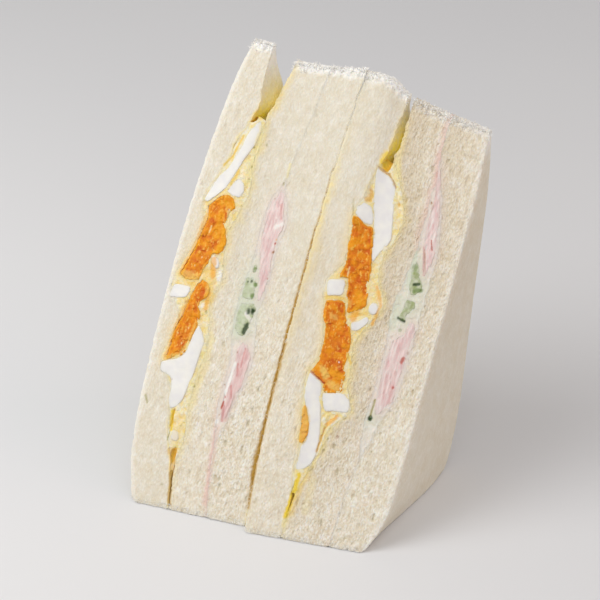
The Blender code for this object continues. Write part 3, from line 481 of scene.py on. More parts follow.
def face_x(face, height, depth):
    """X of the face between two layers, at a height and a depth behind the cut."""
    on_cut, at_back, swell = FACES[face]
    x = curve(on_cut, height)
    at_back = at_back + swell * ease(*SWELL_START, height) * (1.0 - ease(*SWELL_END, height))
    return x + (at_back - x) * ease(0.0, CLOSE_UP, depth)


# The layout's place in the frame: the rightmost and rearmost points are known in both.
RIGHTMOST_X = float(curve(FACES["b_outer"][0], np.linspace(0.0, 1.0, 21)).max()) - CLEARANCE
BASE = np.array((RIGHTMOST_X - cad_box[1].x / MM, TIP_Y + TIP_THICK - cad_box[1].y / MM, 0.0))


def place(half, x, height, depth):
    """Points in the food in the layout's millimetres, one row each."""
    z = height * curve(TIP_Z[half], x)
    return np.stack((x, front_y(half, x, height) + depth, z), axis=-1)


def lattice_random(cell, seed):
    """Three repeatable random numbers from 0 to 1 for every integer lattice cell."""
    cell = cell.astype(np.int64)
    mixed = cell[..., 0] * 73856093 ^ cell[..., 1] * 19349663 ^ cell[..., 2] * 83492791
    mixed = (mixed ^ (seed * 2654435761)) & 0xFFFFFFFF
    numbers = []
    for _ in range(3):
        mixed = ((mixed ^ (mixed >> 15)) * 739981397) & 0xFFFFFFFF
        mixed = ((mixed ^ (mixed >> 13)) * 668265263) & 0xFFFFFFFF
        numbers.append((mixed >> 8) / float(0xFFFFFF))
    return np.stack(numbers, axis=-1)


def noise(points, size, seed):
    """Smooth noise from -1 to 1 whose bumps measure about size, a number or one for each axis."""
    scaled = points / size
    cell = np.floor(scaled)
    part = scaled - cell
    part = part * part * (3.0 - 2.0 * part)
    total = np.zeros(len(points))
    for corner in np.ndindex(2, 2, 2):
        weight = np.prod(np.where(corner, part, 1.0 - part), axis=-1)
        total += weight * lattice_random(cell + corner, seed)[..., 0]
    return total * 2.0 - 1.0


def scattered(scaled, seed):
    """The 27 lattice cells round each point, each with the way to the point from its random spot."""
    cell = np.floor(scaled)
    for offset in np.ndindex(3, 3, 3):
        near = cell + offset - 1.0
        yield near, scaled - near - lattice_random(near, seed)


def facets(points, size, seed):
    """A tilted facet round each of many scattered spots, as crumbly chunks have."""
    nearest = np.full(len(points), np.inf)
    value = np.zeros(len(points))
    for near, away in scattered(points / size, seed):
        distance = (away ** 2).sum(axis=-1)
        tilt = lattice_random(near, seed + 1) - 0.5
        here = (away * tilt).sum(axis=-1) * 1.6 + tilt[..., 0] * 1.2
        value = np.where(distance < nearest, here, value)
        nearest = np.minimum(nearest, distance)
    return value


def along_cut(points):
    """Layout points turned so that their second axis runs up the cut and the third out of it."""
    y = points[:, 1] * math.sin(CUT_LEAN) + points[:, 2] * math.cos(CUT_LEAN)
    z = points[:, 2] * math.sin(CUT_LEAN) - points[:, 1] * math.cos(CUT_LEAN)
    return np.stack((points[:, 0], y, z), axis=-1)


def cells(points, size, seed):
    """Hollows between thin walls: 0 on a wall, up to 1 in a cell, each cell with its own depth."""
    first = np.full(len(points), FAR)
    second = first.copy()
    own_depth = np.zeros(len(points))
    for near, away in scattered(points / size, seed):
        distance = np.linalg.norm(away, axis=-1)
        closer = distance < first
        second = np.where(closer, first, np.minimum(second, distance))
        own_depth = np.where(closer, lattice_random(near, seed + 1)[:, 0], own_depth)
        first = np.where(closer, distance, first)
    return np.clip((second - first) * 1.8, 0.0, 1.0) * own_depth


def waver(seed, height, depth):
    """Sideways waver of a torn edge in millimetres, strongest at the cut."""
    flat = [value.ravel() for value in np.broadcast_arrays(height * CUT_LENGTH, depth)]
    points = np.stack((np.full(flat[0].shape, seed * 7.3), flat[0], flat[1]), axis=-1)
    wave = 0.26 * noise(points, (1.0, 2.6, 3.0), 41) + 0.2 * noise(points, 0.8, 42)
    wave = wave * (0.3 + 0.7 * np.exp(-flat[1] / 1.5))
    return wave.reshape(np.broadcast_shapes(np.shape(height), np.shape(depth)))


def edge_x(face, height, depth):
    """X of a face with its torn edge: the slices close up where no filling shows between them."""
    height, depth = np.broadcast_arrays(np.asarray(height, float), np.asarray(depth, float))
    x = face_x(face, height, depth)
    gape = ease(*GAPE_START, height) * (1.0 - ease(*GAPE_END, height))
    x = x + LEANS.get(face, 0.0) * ease(0.0, LEAN_DEPTH, depth) * gape
    for nudged, middle, half_length, amount in NUDGES:
        if nudged == face:
            x = x + amount * np.exp(-((height - middle) / half_length) ** 2)
    layer, side = face.rsplit("_", 1)
    own = waver(list(FACES).index(face), height, depth)
    if side == "outer":
        return x + np.abs(own) * (1.0 if layer == "a" else -1.0)
    if side == "inner":
        other = face_x("b_inner" if layer == "a" else "a_inner", height, depth)
        closed, shared = HALVES_CLOSE, waver(20, height, depth)
    else:
        other = face_x(layer + ("_right" if side == "left" else "_left"), height, depth)
        closed, shared = CLOSED[layer], waver(30 + len(layer), height, depth)
    gap = other - x
    share = np.interp(height, *np.transpose(closed))
    if side == "inner":
        open_depth = np.interp(height, *np.transpose(SEAM_DEPTH))
        share = share + (1.0 - share) * ease(0.25, 1.0, depth / open_depth)
    x = x + gap * share / 2.0
    apart = ease(0.4, 1.8, np.abs(gap)) * (1.0 - share)
    return x + own * apart + shared * (1.0 - apart)


def on_plane(outline):
    """(x, height) points as millimetres to the right and up the cut."""
    return np.array(outline) * (1.0, CUT_LENGTH)


def mark_away(x, up, points, radius):
    """How far points on the cut lie from a mark, in radii."""
    line = on_plane(points)
    away = np.full(len(x), FAR)
    for start, end in zip(line, line[1:] if len(line) > 1 else line):
        run = end - start
        share = ((x - start[0]) * run[0] + (up - start[1]) * run[1]) / max((run ** 2).sum(), 1e-9)
        share = np.clip(share, 0.0, 1.0)
        across = np.hypot(x - start[0] - run[0] * share, (up - start[1] - run[1] * share) * 0.8)
        away = np.minimum(away, across)
    return away / radius


def marked(half, x, height, depth):
    """The strength of every tint at points of a half, and how deep its marks are set in."""
    strengths = {tint: np.zeros(len(x)) for tint in TINTS}
    inward = np.zeros(len(x))
    front = depth < MARK_DEPTH
    x, up, depth = x[front], height[front] * CUT_LENGTH, depth[front]
    at = np.stack((x, up, depth), axis=-1)
    ragged = 0.3 * noise(at, 0.6, 61) + 0.2 * noise(at, 1.5, 62)
    for (mark_half, tint), marks in MARKS.items():
        if mark_half != half:
            continue
        for radius, strength, *points in marks:
            away = mark_away(x, up, points, radius) + ragged
            value = strength * (1.0 - ease(0.5, 1.5, away)) * np.exp(-depth / 2.0)
            strengths[tint][front] = np.maximum(strengths[tint][front], value)
            inward[front] += TINTS[tint][1] * value
    return strengths, inward


def beside_pieces(kind, half, at, margin):
    """Outlines of a half's pieces of that kind, each with which points lie within its box."""
    for name, outline in PIECES.items():
        if name.startswith(kind) and name[-2] == half:
            flat = on_plane(outline)
            close = ((at > flat.min(axis=0) - margin) & (at < flat.max(axis=0) + margin)).all(axis=1)
            if close.any():
                yield flat, close


def near_pieces(kind, half, x, height, reach):
    """1 beside a half's pieces of that kind, fading to 0 over about reach millimetres."""
    at = np.stack((x, height * CUT_LENGTH), axis=1)
    away = np.full(len(x), FAR)
    for flat, close in beside_pieces(kind, half, at, 3.0 * reach):
        found = np.where(inside(flat, at[close]), 0.0, distance_to(flat, at[close]))
        away[close] = np.minimum(away[close], found)
    return np.exp(-(away / reach) ** 2)


def under_pieces(half, x, height):
    """Which points of a spread lie well under the pieces of filling."""
    at = np.stack((x, height * CUT_LENGTH), axis=1)
    under = np.zeros(len(x), bool)
    for flat, close in beside_pieces("", half, at, 0.0):
        under[close] |= inside(flat, at[close]) & (distance_to(flat, at[close]) > 0.35)
    return under


def paint_cut(mesh, half, x, height, depth, strengths):
    """Stores the marks and what has bled from the pieces of filling for the material to read."""
    for tint, values in strengths.items():
        paint(mesh, tint, values)
    shallow = np.exp(-depth / 3.0)
    for name, (kind, reach, _) in BLEEDS.items():
        paint(mesh, name, near_pieces(kind, half, x, height, reach) * shallow)


def vertex_normals(mesh):
    """The mesh's vertex normals as an array."""
    normals = np.zeros(len(mesh.vertices) * 3, np.float32)
    mesh.vertex_normals.foreach_get("vector", normals)
    return normals.reshape(-1, 3).astype(float)


def make_mesh(name, points, faces):
    """A smooth-shaded mesh from layout points and faces."""
    mesh = bpy.data.meshes.new(name)
    mesh.from_pydata(((points - BASE) * MM).tolist(), [], [list(map(int, face)) for face in faces])
    mesh.shade_smooth()
    mesh.update()
    return mesh


def move_points(mesh, points):
    """Sets the vertices to layout points, kept inside the model's box."""
    placed = np.clip((points - BASE) * MM, np.array(cad_box[0]), np.array(cad_box[1]))
    mesh.vertices.foreach_set("co", placed.astype(np.float32).ravel())
    mesh.set_sharp_from_angle(angle=SHARP_ANGLE)
    mesh.update()


def paint(mesh, name, values, rest=0.0):
    """Stores one number for each vertex, for the material to read, and rest for any more."""
    values = np.append(values, np.full(len(mesh.vertices) - len(values), rest))
    attribute = mesh.attributes.new(name, "FLOAT", "POINT")
    attribute.data.foreach_set("value", np.clip(values, 0.0, 1.0).astype(np.float32))


def linked(name, data):
    """A new object in the scene."""
    made = bpy.data.objects.new(name, data)
    bpy.context.scene.collection.objects.link(made)
    return made


def add_piece(node, mesh, material):
    """A piece that rides on the sandwich and stands for one of the model's nodes."""
    piece = linked(node + "_fine", mesh)
    mesh.materials.append(material)
    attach(piece, "root")
    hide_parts(node)


class Slab:
    """A closed layer as a grid of rows, steps in and columns, of which only the shell is kept."""

    def __init__(self, half, left, right, low, high, steps_in):
        self.half = half
        self.left = left
        self.right = right
        rows = int(ROWS * (high - low))
        height = np.linspace(low, high, rows + 1)[:, None, None]
        across = np.linspace(0.0, 1.0, COLUMNS + 1)[None, None, :]
        inward = (0.5 - 0.5 * np.cos(np.linspace(0.0, math.pi, steps_in + 1)))[None, :, None]
        shape = (rows + 1, steps_in + 1, COLUMNS + 1)
        shell = np.zeros(shape, bool)
        shell[[0, -1]] = True
        shell[:, [0, -1]] = True
        shell[:, :, [0, -1]] = True
        self.index = np.full(shape, -1)
        self.index[shell] = np.arange(shell.sum())
        self.height = np.broadcast_to(height, shape)[shell]
        self.across = np.broadcast_to(across, shape)[shell]
        inward = np.broadcast_to(inward, shape)[shell]
        middle = (edge_x(left, self.height, 0.0) + edge_x(right, self.height, 0.0)) / 2.0
        self.full = full_depth(half, middle, self.height)
        self.depth = self.full * inward
        self.find_x()

    def find_x(self):
        """Works out where the points lie across the layer, from their heights and depths."""
        self.left_x = edge_x(self.left, self.height, self.depth)
        self.right_x = edge_x(self.right, self.height, self.depth)
        self.x = self.left_x + (self.right_x - self.left_x) * self.across
        self.from_edge = np.minimum(self.away("left"), self.away("right"))

    def away(self, side):
        """How far the points lie from the layer's left or right face."""
        return self.x - self.left_x if side == "left" else self.right_x - self.x

    def points(self):
        """The slab's points in the layout."""
        return place(self.half, self.x, self.height, self.depth)

    def faces(self):
        """Quads of the six sides, all facing out."""
        index = self.index
        sides = [(index[:, 0], False), (index[:, -1], True), (index[:, :, 0], True),
                 (index[:, :, -1], False), (index[0], True), (index[-1], False)]
        quads = []
        for sheet, turned in sides:
            corners = [sheet[:-1, :-1], sheet[:-1, 1:], sheet[1:, 1:], sheet[1:, :-1]]
            if turned:
                corners.reverse()
            quads.append(np.stack(corners, axis=-1).reshape(-1, 4))
        return np.concatenate(quads)


# Stains on each slice: side, tint, how far it reaches over the cut, and its strength up the cut
# as (height, strength) pairs
STAINS = {
    "bread_a1": [
        ("right", "stain", 0.5, (0.0, 0.8), (0.12, 1.0), (0.2, 0.4), (0.3, 0.2), (0.6, 0.2), (0.74, 0.8),
         (0.84, 1.0), (0.87, 0.6), (0.91, 0.2), (0.95, 0.0))],
    "bread_a2": [
        ("left", "stain", 1.6, (0.0, 0.2), (0.1, 0.5), (0.5, 0.55), (0.8, 0.7), (0.93, 0.8), (1.0, 0.3)),
        ("right", "pink", 1.2, (0.0, 0.3), (0.1, 0.4), (0.2, 0.4), (0.3, 0.1), (0.6, 0.0))],
    "bread_a3": [
        ("right", "stain", 0.5, (0.0, 0.9), (0.4, 0.7), (0.6, 0.6), (0.9, 0.2))],
    "bread_b1": [
        ("left", "stain", 2.2, (0.0, 0.1), (0.3, 0.15), (0.5, 0.5), (0.62, 0.6), (0.73, 0.8), (0.8, 0.4),
         (0.92, 0.1)),
        ("left", "warm", 6.0, (0.3, 0.0), (0.45, 0.5), (0.6, 0.6), (0.7, 0.2), (0.8, 0.0)),
        ("right", "stain", 0.5, (0.0, 0.2), (0.1, 0.6), (0.3, 0.4), (0.7, 0.2), (0.8, 0.9), (0.88, 1.0),
         (0.92, 0.6), (1.0, 0.1))],
    "bread_b2": [
        ("left", "warm", 9.0, (0.0, 0.2), (0.2, 0.5), (0.4, 0.8), (0.8, 0.9), (1.0, 0.9)),
        ("left", "stain", 1.4, (0.0, 0.4), (0.1, 0.9), (0.2, 1.0), (0.3, 0.7), (0.6, 0.7), (0.85, 0.6),
         (0.93, 0.3), (1.0, 0.0)),
        ("right", "pink", 1.6, (0.6, 0.1), (0.8, 0.5), (0.9, 0.7), (1.0, 0.5))],
    "bread_b3": [
        ("left", "warm", 9.0, (0.3, 0.0), (0.55, 0.4), (0.7, 0.5), (0.9, 0.6), (1.0, 0.6))],
}
# How fast the relief of the cut fades behind it, in millimetres
RELIEF_DEPTH = 0.8
# How open the crumb of each slice is low down and at the top, and beside the fillings
OPEN_CRUMB = {
    "bread_a1": (0.8, 0.7), "bread_a2": (1.3, 0.6), "bread_a3": (1.6, 0.6),
    "bread_b1": (1.1, 0.6), "bread_b2": (1.7, 1.6), "bread_b3": (1.4, 1.5),
}
OPEN_BESIDE = 0.9
# Heights over which the crumb changes from one to the other, and over which the tip is torn
OPEN_CHANGE = (0.2, 0.7)
TORN_TIP = (0.97, 0.997)


def crumb_relief(crumb, open_crumb):
    """How far the crumb's cells lie below the cut in millimetres, and how hollow each point is."""
    bent = crumb + 0.35 * np.stack([noise(crumb, 1.3, seed) for seed in (51, 52, 53)], axis=-1)
    small = cells(bent, (0.6, 1.35, 0.9), 11)
    large = cells(bent, (1.5, 2.8, 2.0), 13) ** 2
    hollow = open_crumb * (0.45 * small + 0.8 * large)
    rough = 0.07 * noise(crumb, (0.42, 0.8, 0.5), 15) + 0.12 * noise(crumb, (1.3, 2.6, 2.0), 16)
    return 0.4 * hollow + rough + 0.1, hollow


# Shreds of torn crumb: where they grow, how many for each slice, length and width in millimetres
SHREDS = {"tip": (150, 0.9, 0.24), "edge": (280, 0.6, 0.12), "foot": (140, 0.5, 0.14)}


def shreds(slab, points, normals, open_edges, seed):
    """Points and faces of small bent spikes of crumb on the torn tip, the edges and the foot."""
    chance = np.random.default_rng(seed)
    total = len(points)
    on_edge = (slab.depth < 0.6) & (slab.from_edge < 0.1) & open_edges
    grounds = {"tip": (slab.height > 0.98 + 0.01 * chance.random(total)) & (slab.depth < 2.4),
               "edge": on_edge & (slab.height > 0.02),
               "foot": (slab.height < 0.012) & (slab.depth < 0.8)}
    new_points, new_faces = [], []
    for ground, (count, length, width) in SHREDS.items():
        places = np.flatnonzero(grounds[ground])
        for root in chance.choice(places, min(count, len(places)), replace=False):
            out = normals[root] + chance.normal(0.0, 0.35, 3)
            out /= np.linalg.norm(out)
            side = np.cross(out, chance.normal(0.0, 1.0, 3))
            side /= np.linalg.norm(side)
            other = np.cross(out, side)
            reach = length * chance.uniform(0.3, 1.1)
            bend = chance.normal(0.0, 0.25, 3) * reach
            thick = width * chance.uniform(0.5, 1.2)
            for along, size in ((-0.15, 1.0), (0.5, 0.6), (1.0, 0.12)):
                centre = points[root] + out * reach * along + bend * along ** 2
                for angle in (0.0, 2.1, 4.2):
                    around = side * math.cos(angle) + other * math.sin(angle)
                    new_points.append(centre + around * thick * size)
            for ring in (0, 3):
                for k in range(3):
                    after = (k + 1) % 3
                    new_faces.append((total + ring + k, total + ring + after,
                                      total + ring + 3 + after, total + ring + 3 + k))
            new_faces += [(total + 2, total + 1, total), (total + 6, total + 7, total + 8)]
            total += 9
    return np.array(new_points), new_faces


def make_bread(name, half, left, right, material):
    """A slice with crumb relief on its cut faces, stained where it meets the filling."""
    outer = "outer" in left or "outer" in right
    slab = Slab(half, left, right, 0.0, 1.0, OUTER_STEPS_IN if outer else STEPS_IN)
    crumb = along_cut(slab.points())
    beside = 1.0 - ease(0.0, 1.0, slab.from_edge)
    low_down, at_top = OPEN_CRUMB[name]
    coarse = low_down + (at_top - low_down) * ease(*OPEN_CHANGE, slab.height)
    open_crumb = coarse + (OPEN_BESIDE - coarse) * beside
    relief, hollow = crumb_relief(crumb, open_crumb)
    on_cut = np.exp(-slab.depth / RELIEF_DEPTH)
    on_back = np.exp(-(slab.full - slab.depth) / RELIEF_DEPTH)
    strengths, set_in = marked(half, slab.x, slab.height, slab.depth)
    torn = ease(*TORN_TIP, slab.height + 0.006 * noise(crumb, 1.2, 20))
    waves = 0.12 * noise(crumb, 9.0, 17) + 0.12
    edge = np.zeros(len(crumb))
    for side, face in (("left", left), ("right", right)):
        if face.endswith(("outer", "inner")):
            edge += 0.3 * (1.0 - ease(0.0, 0.7, slab.away(side))) ** 2
            edge += outer * 0.35 * (1.0 - ease(0.0, 2.4, slab.away(side))) ** 2
    slab.depth = slab.depth + on_cut * (relief + waves * ease(0.0, 1.5, slab.from_edge) + edge + set_in)
    slab.depth = slab.depth - on_back * (relief + edge)
    lift = (1.0 - ease(0.0, 1.4, slab.from_edge)) ** 2 * (1.0 - ease(0.0, 0.012, slab.height))
    slab.height = slab.height + 0.003 * lift
    points = slab.points()
    plain = make_mesh(name + "_plain", points, slab.faces())
    normals = vertex_normals(plain)
    bpy.data.meshes.remove(plain)
    outer_away = slab.away("left" if "outer" in left else "right")
    on_side = outer & (outer_away < 0.1)
    side_relief = 0.4 * relief * on_side * ((1.0 - on_cut) * (1.0 - on_back))
    ends = torn * (0.35 + 0.55 * noise(crumb, 1.0, 18) + 0.35 * noise(crumb, 0.55, 19))
    ends = ends * (0.3 + 0.7 * ease(0.0, 0.9, slab.from_edge))
    points = points - normals * (side_relief + np.maximum(ends, 0.0))[:, None]
    shred_points, shred_faces = shreds(slab, points, normals, edge > 0.05, list(OPEN_CRUMB).index(name))
    faces = slab.faces().tolist() + shred_faces
    points = np.vstack((points, shred_points))
    mesh = make_mesh(name + "_fine", points, faces)
    move_points(mesh, points)
    shown = np.clip(on_cut + on_back + 0.6 * outer, 0.0, 1.0)
    # Painted shade: how deep each point lies in a crumb cell, so the material can darken the pits
    paint(mesh, "pit_shade", hollow * shown / 2.0)
    paint(mesh, "coarse", coarse / 2.0 * (1.0 - 0.75 * on_side * (1.0 - np.exp(-slab.depth / 3.0))))
    # Painted highlight: a whiter band along the outer edges, partly pale fuzzy crumb, and whiter tops and
    # upper walls near the tip; both are stored with the torn tip
    fuzz_and_highlight = 0.75 * outer * (1.0 - ease(0.0, 3.0, outer_away)) * np.exp(-slab.depth / 2.0)
    top_highlight = 0.8 * ease(0.89, 0.97, slab.height) * ease(0.2, 1.2, slab.depth)
    paint(mesh, "torn", np.maximum(torn, np.maximum(fuzz_and_highlight, top_highlight)), 1.0)
    strengths.update({tint: np.zeros(len(slab.x)) for tint in ("stain", "warm")})
    blotches = 0.5 + 0.5 * noise(crumb, (1.2, 3.0, 1.2), 17)
    for side, tint, reach, *heights in STAINS[name]:
        spread = np.exp(-(slab.away(side) / (reach * (0.5 + blotches))) ** 2)
        strengths[tint] = strengths[tint] + curve(heights, slab.height) * spread
    # Partly painted shade: away from the cut and the back, the material turns the egg stain deeper yellow,
    # as in the gaps between slices
    paint(mesh, "deep", ease(0.3, 2.5, np.minimum(slab.depth, slab.full - slab.depth)))
    paint_cut(mesh, half, slab.x, slab.height, slab.depth, strengths)
    add_piece(name, mesh, material)


# Hollows in the spreads at the cut, as (x, height, half width, half length up the cut, depth)
HOLLOWS = {
    "a_egg": [(-67.4, 0.11, 0.9, 0.02, 1.0), (-65.6, 0.06, 0.5, 0.045, 1.0),
              (-70.7, 0.185, 0.4, 0.024, 0.8), (-70.2, 0.856, 1.8, 0.022, 4.0)],
    "b_egg": [(-21.0, 0.26, 0.5, 0.02, 0.4), (-24.2, 0.85, 1.7, 0.026, 2.5)],
    "a_ham": [],
    "b_ham": [],
}
# How fast a spread's top falls behind the cut where the slices gape, in height for a millimetre
SINK = {"a_egg": 0.0055, "b_egg": 0.0048, "a_ham": 0.0, "b_ham": 0.0}
SINK_DEPTH = 18.0
# How far the spreads lie below the pieces that cover them
UNDER = 0.9


def sunk(layer, height, depth):
    """Heights in a layer, lower behind the cut where its top sinks."""
    low, high = LAYERS[layer][4:6]
    fall = SINK[layer] * np.clip(depth - 0.5, 0.0, SINK_DEPTH) / (high - low)
    return low + (height - low) * (1.0 - fall)


def make_spread(layer, material):
    """The soft filling between two slices, with hollows and lumps at the cut."""
    node, half, left, right, low, high, slot = LAYERS[layer]
    slab = Slab(half, left, right, low, high, SPREAD_STEPS_IN)
    points = slab.points()
    mesh = make_mesh(node + "_fine", points, slab.faces())
    on_cut = np.exp(-slab.depth / RELIEF_DEPTH)
    crumb = along_cut(points)
    hollow = np.zeros(len(points))
    for x, height, half_width, half_length, depth in HOLLOWS[layer]:
        away = ((slab.x - x) / half_width) ** 2 + ((slab.height - height) / half_length) ** 2
        hollow = np.maximum(hollow, depth * (1.0 - ease(0.5, 1.3, away)))
    lumps = 0.3 * noise(crumb, 1.7, 21) + 0.16 * noise(crumb, 0.7, 22) + 0.16 * facets(crumb, 1.1, 23)
    bread_like, _ = crumb_relief(crumb, OPEN_BESIDE)
    strengths, set_in = marked(half, slab.x, slab.height, slab.depth)
    own = ease(0.0, 0.8, slab.from_edge)
    flush = 1.0 - 0.8 * near_pieces("", half, slab.x, slab.height, 0.8)
    relief = bread_like + (0.05 + (0.2 + lumps) * flush - bread_like) * own
    relief = relief + UNDER * under_pieces(half, slab.x, slab.height)
    slab.depth = slab.depth + on_cut * (relief + hollow + set_in)
    slab.height = sunk(layer, slab.height, slab.depth)
    if SINK[layer]:
        slab.find_x()
    move_points(mesh, slab.points())
    paint(mesh, "deep", ease(0.2, 1.2, hollow))
    paint(mesh, "lump", 0.5 + lumps)
    paint(mesh, "beside", 1.0 - ease(0.0, 1.2, slab.away("left")))
    paint_cut(mesh, half, slab.x, slab.height, slab.depth, strengths)
    add_piece(node, mesh, material)


def rounded(outline, rounds, share):
    """The outline with a share of every side cut off at its corners, again and again."""
    for _ in range(rounds):
        following = np.roll(outline, -1, axis=0)
        near = outline * (1.0 - share) + following * share
        far = outline * share + following * (1.0 - share)
        outline = np.stack((near, far), axis=1).reshape(-1, 2)
    return outline


def resampled(outline, step):
    """The closed outline as points about one step apart."""
    following = np.roll(outline, -1, axis=0)
    lengths = np.linalg.norm(following - outline, axis=1)
    travel = np.concatenate(([0.0], np.cumsum(lengths)))
    count = max(int(travel[-1] / step), 12)
    closed = np.vstack((outline, outline[:1]))
    places = np.linspace(0.0, travel[-1], count, endpoint=False)
    return np.stack([np.interp(places, travel, closed[:, axis]) for axis in range(2)], axis=1)


def outward(outline):
    """Unit steps straight out of a closed outline, one at each point."""
    run = np.roll(outline, -1, axis=0) - np.roll(outline, 1, axis=0)
    across = np.stack((run[:, 1], -run[:, 0]), axis=1)
    return across / np.linalg.norm(across, axis=1, keepdims=True)


def ragged_outline(outline, amount):
    """The outline pushed in and out by small irregular bites."""
    at = np.column_stack((outline, np.zeros(len(outline))))
    bites = amount * (noise(at, 1.5, 71) + 0.8 * noise(at, 0.6, 72))
    return outline + outward(outline) * bites[:, None]


def distance_to(outline, points):
    """Distance of every point to the closed outline."""
    start = outline[None, :, :]
    run = (np.roll(outline, -1, axis=0) - outline)[None, :, :]
    offset = points[:, None, :] - start
    share = np.clip((offset * run).sum(-1) / (run ** 2).sum(-1), 0.0, 1.0)
    return np.linalg.norm(offset - run * share[..., None], axis=-1).min(axis=1)


def inside(outline, points):
    """Whether each point lies inside the closed outline."""
    x, y = points[:, 0:1], points[:, 1:2]
    x0, y0 = outline[None, :, 0], outline[None, :, 1]
    x1, y1 = np.roll(outline, -1, axis=0)[None, :, 0], np.roll(outline, -1, axis=0)[None, :, 1]
    crosses = (y0 > y) != (y1 > y)
    rise = np.where(y1 == y0, 1.0, y1 - y0)
    at = x0 + (y - y0) / rise * (x1 - x0)
    return (crosses & (x < at)).sum(axis=1) % 2 == 1


def filled(outline):
    """Points on and inside a closed outline, the outline's first, and the triangles between them."""
    low, high = outline.min(axis=0), outline.max(axis=0)
    grid_x, grid_y = np.meshgrid(np.arange(low[0], high[0], PIECE_STEP),
                                 np.arange(low[1], high[1], PIECE_STEP * 0.87))
    grid_x = grid_x + (np.arange(grid_x.shape[0]) % 2)[:, None] * PIECE_STEP / 2.0
    inner = np.stack((grid_x.ravel(), grid_y.ravel()), axis=1)
    inner = inner[inside(outline, inner)]
    inner = inner[distance_to(outline, inner) > PIECE_STEP * 0.6]
    points = [Vector(point) for point in np.vstack((outline, inner))]
    edges = [(i, (i + 1) % len(outline)) for i in range(len(outline))]
    found = delaunay_2d_cdt(points, edges, [], 1, 1e-6)
    return np.array([tuple(point) for point in found[0]]), [tuple(face) for face in found[2]]


def make_filling(name, material, slot, proud, bevel, bites, relief):
    """A piece of filling: a fine face at the cut and plain sides led inwards."""
    layer = name[-2] + ("_egg" if name.startswith("egg") else "_ham")
    half, left, right = LAYERS[layer][1:4]
    flat = on_plane(PIECES[name])
    if np.sum(flat[:, 0] * np.roll(flat[:, 1], -1) - flat[:, 1] * np.roll(flat[:, 0], -1)) < 0.0:
        flat = flat[::-1]
    flat = ragged_outline(resampled(rounded(flat, 2, 0.14), PIECE_STEP), bites)
    push, swell = PUSHES.get(name[:-1], (0.0, 0.0))
    flat = flat + outward(flat) * swell + (push, 0.0)
    count = len(flat)
    cap, faces = filled(flat)
    edge_away = distance_to(flat, cap)
    crumb = np.column_stack((cap, np.zeros(len(cap))))
    height = cap[:, 1] / CUT_LENGTH
    strengths, set_in = marked(half, cap[:, 0], height, np.zeros(len(cap)))
    inward = relief(crumb) - proud + bevel * (1.0 - ease(0.0, bevel * 1.8, edge_away))
    inward = inward + set_in * ease(0.0, 0.5, edge_away)
    points = [place(half, cap[:, 0], height, inward)]
    middle = flat[:, 1].mean() / CUT_LENGTH
    edge_height = flat[:, 1] / CUT_LENGTH
    depth, end_size = PIECE_ENDS[name.split("_")[0]]
    depth = min(depth, full_depth(half, flat[:, 0], edge_height).min() * PIECE_REACH)
    left_x = edge_x(left, edge_height, 0.0)
    right_x = edge_x(right, edge_height, 0.0)
    across = np.clip((flat[:, 0] - left_x) / np.maximum(right_x - left_x, 0.01), 0.04, 0.96)
    ring = list(range(count))
    total = len(cap)
    for share in RING_DEPTHS:
        size = 1.0 - (1.0 - end_size) * share * share
        deep = depth * share
        ring_height = sunk(layer, middle + (edge_height - middle) * size, deep)
        x = edge_x(left, ring_height, deep)
        x = x + (edge_x(right, ring_height, deep) - x) * across
        x = x + (flat[:, 0] - x) * (1.0 - ease(0.0, 0.2, share))
        points.append(place(half, x, ring_height, np.full(count, deep)))
        following = list(range(total, total + count))
        total += count
        for k in range(count):
            after = (k + 1) % count
            faces.append((ring[after], ring[k], following[k], following[after]))
        ring = following
    faces.append(tuple(ring[::-1]))
    points = np.vstack(points)
    mesh = make_mesh(name + "_fine", points, faces)
    paint(mesh, "rim", 1.0 - ease(0.0, 1.0, edge_away), 1.0)
    for tint, values in strengths.items():
        paint(mesh, tint, values)
    add_piece(name, mesh, material)


def white_relief(crumb):
    """Smooth cut egg white with a few shallow dents."""
    return 0.16 * noise(crumb, 5.0, 31) + 0.03 * noise(crumb, 1.2, 32)


def yolk_relief(crumb):
    """Crumbly yolk in small chunks."""
    return 0.3 * facets(crumb, 1.9, 33) + 0.12 * facets(crumb, 0.9, 34) + 0.15 * noise(crumb, 2.5, 30)


def ham_relief(crumb):
    """Thin slices of ham on edge, with grooves between them that run up the cut."""
    bent = crumb[:, 0] + 0.5 * noise(crumb, (3.0, 7.0, 3.0), 35)
    groove = np.abs(np.sin(bent * math.pi / 1.3))
    return 0.1 * (1.0 - groove) ** 2 + 0.2 * noise(crumb, (0.6, 2.2, 0.6), 36)


def cucumber_relief(crumb):
    """Wet cucumber flesh, uneven where the slicing has torn it."""
    return 0.15 * noise(crumb, 1.1, 37) + 0.06 * noise(crumb, 0.5, 38)


def colour(red, green, blue):
    """A colour given as it looks on screen, from 0 to 255."""
    def linear(value):
        value /= 255.0
        return value / 12.92 if value <= 0.04045 else ((value + 0.055) / 1.055) ** 2.4

    return linear(red), linear(green), linear(blue), 1.0


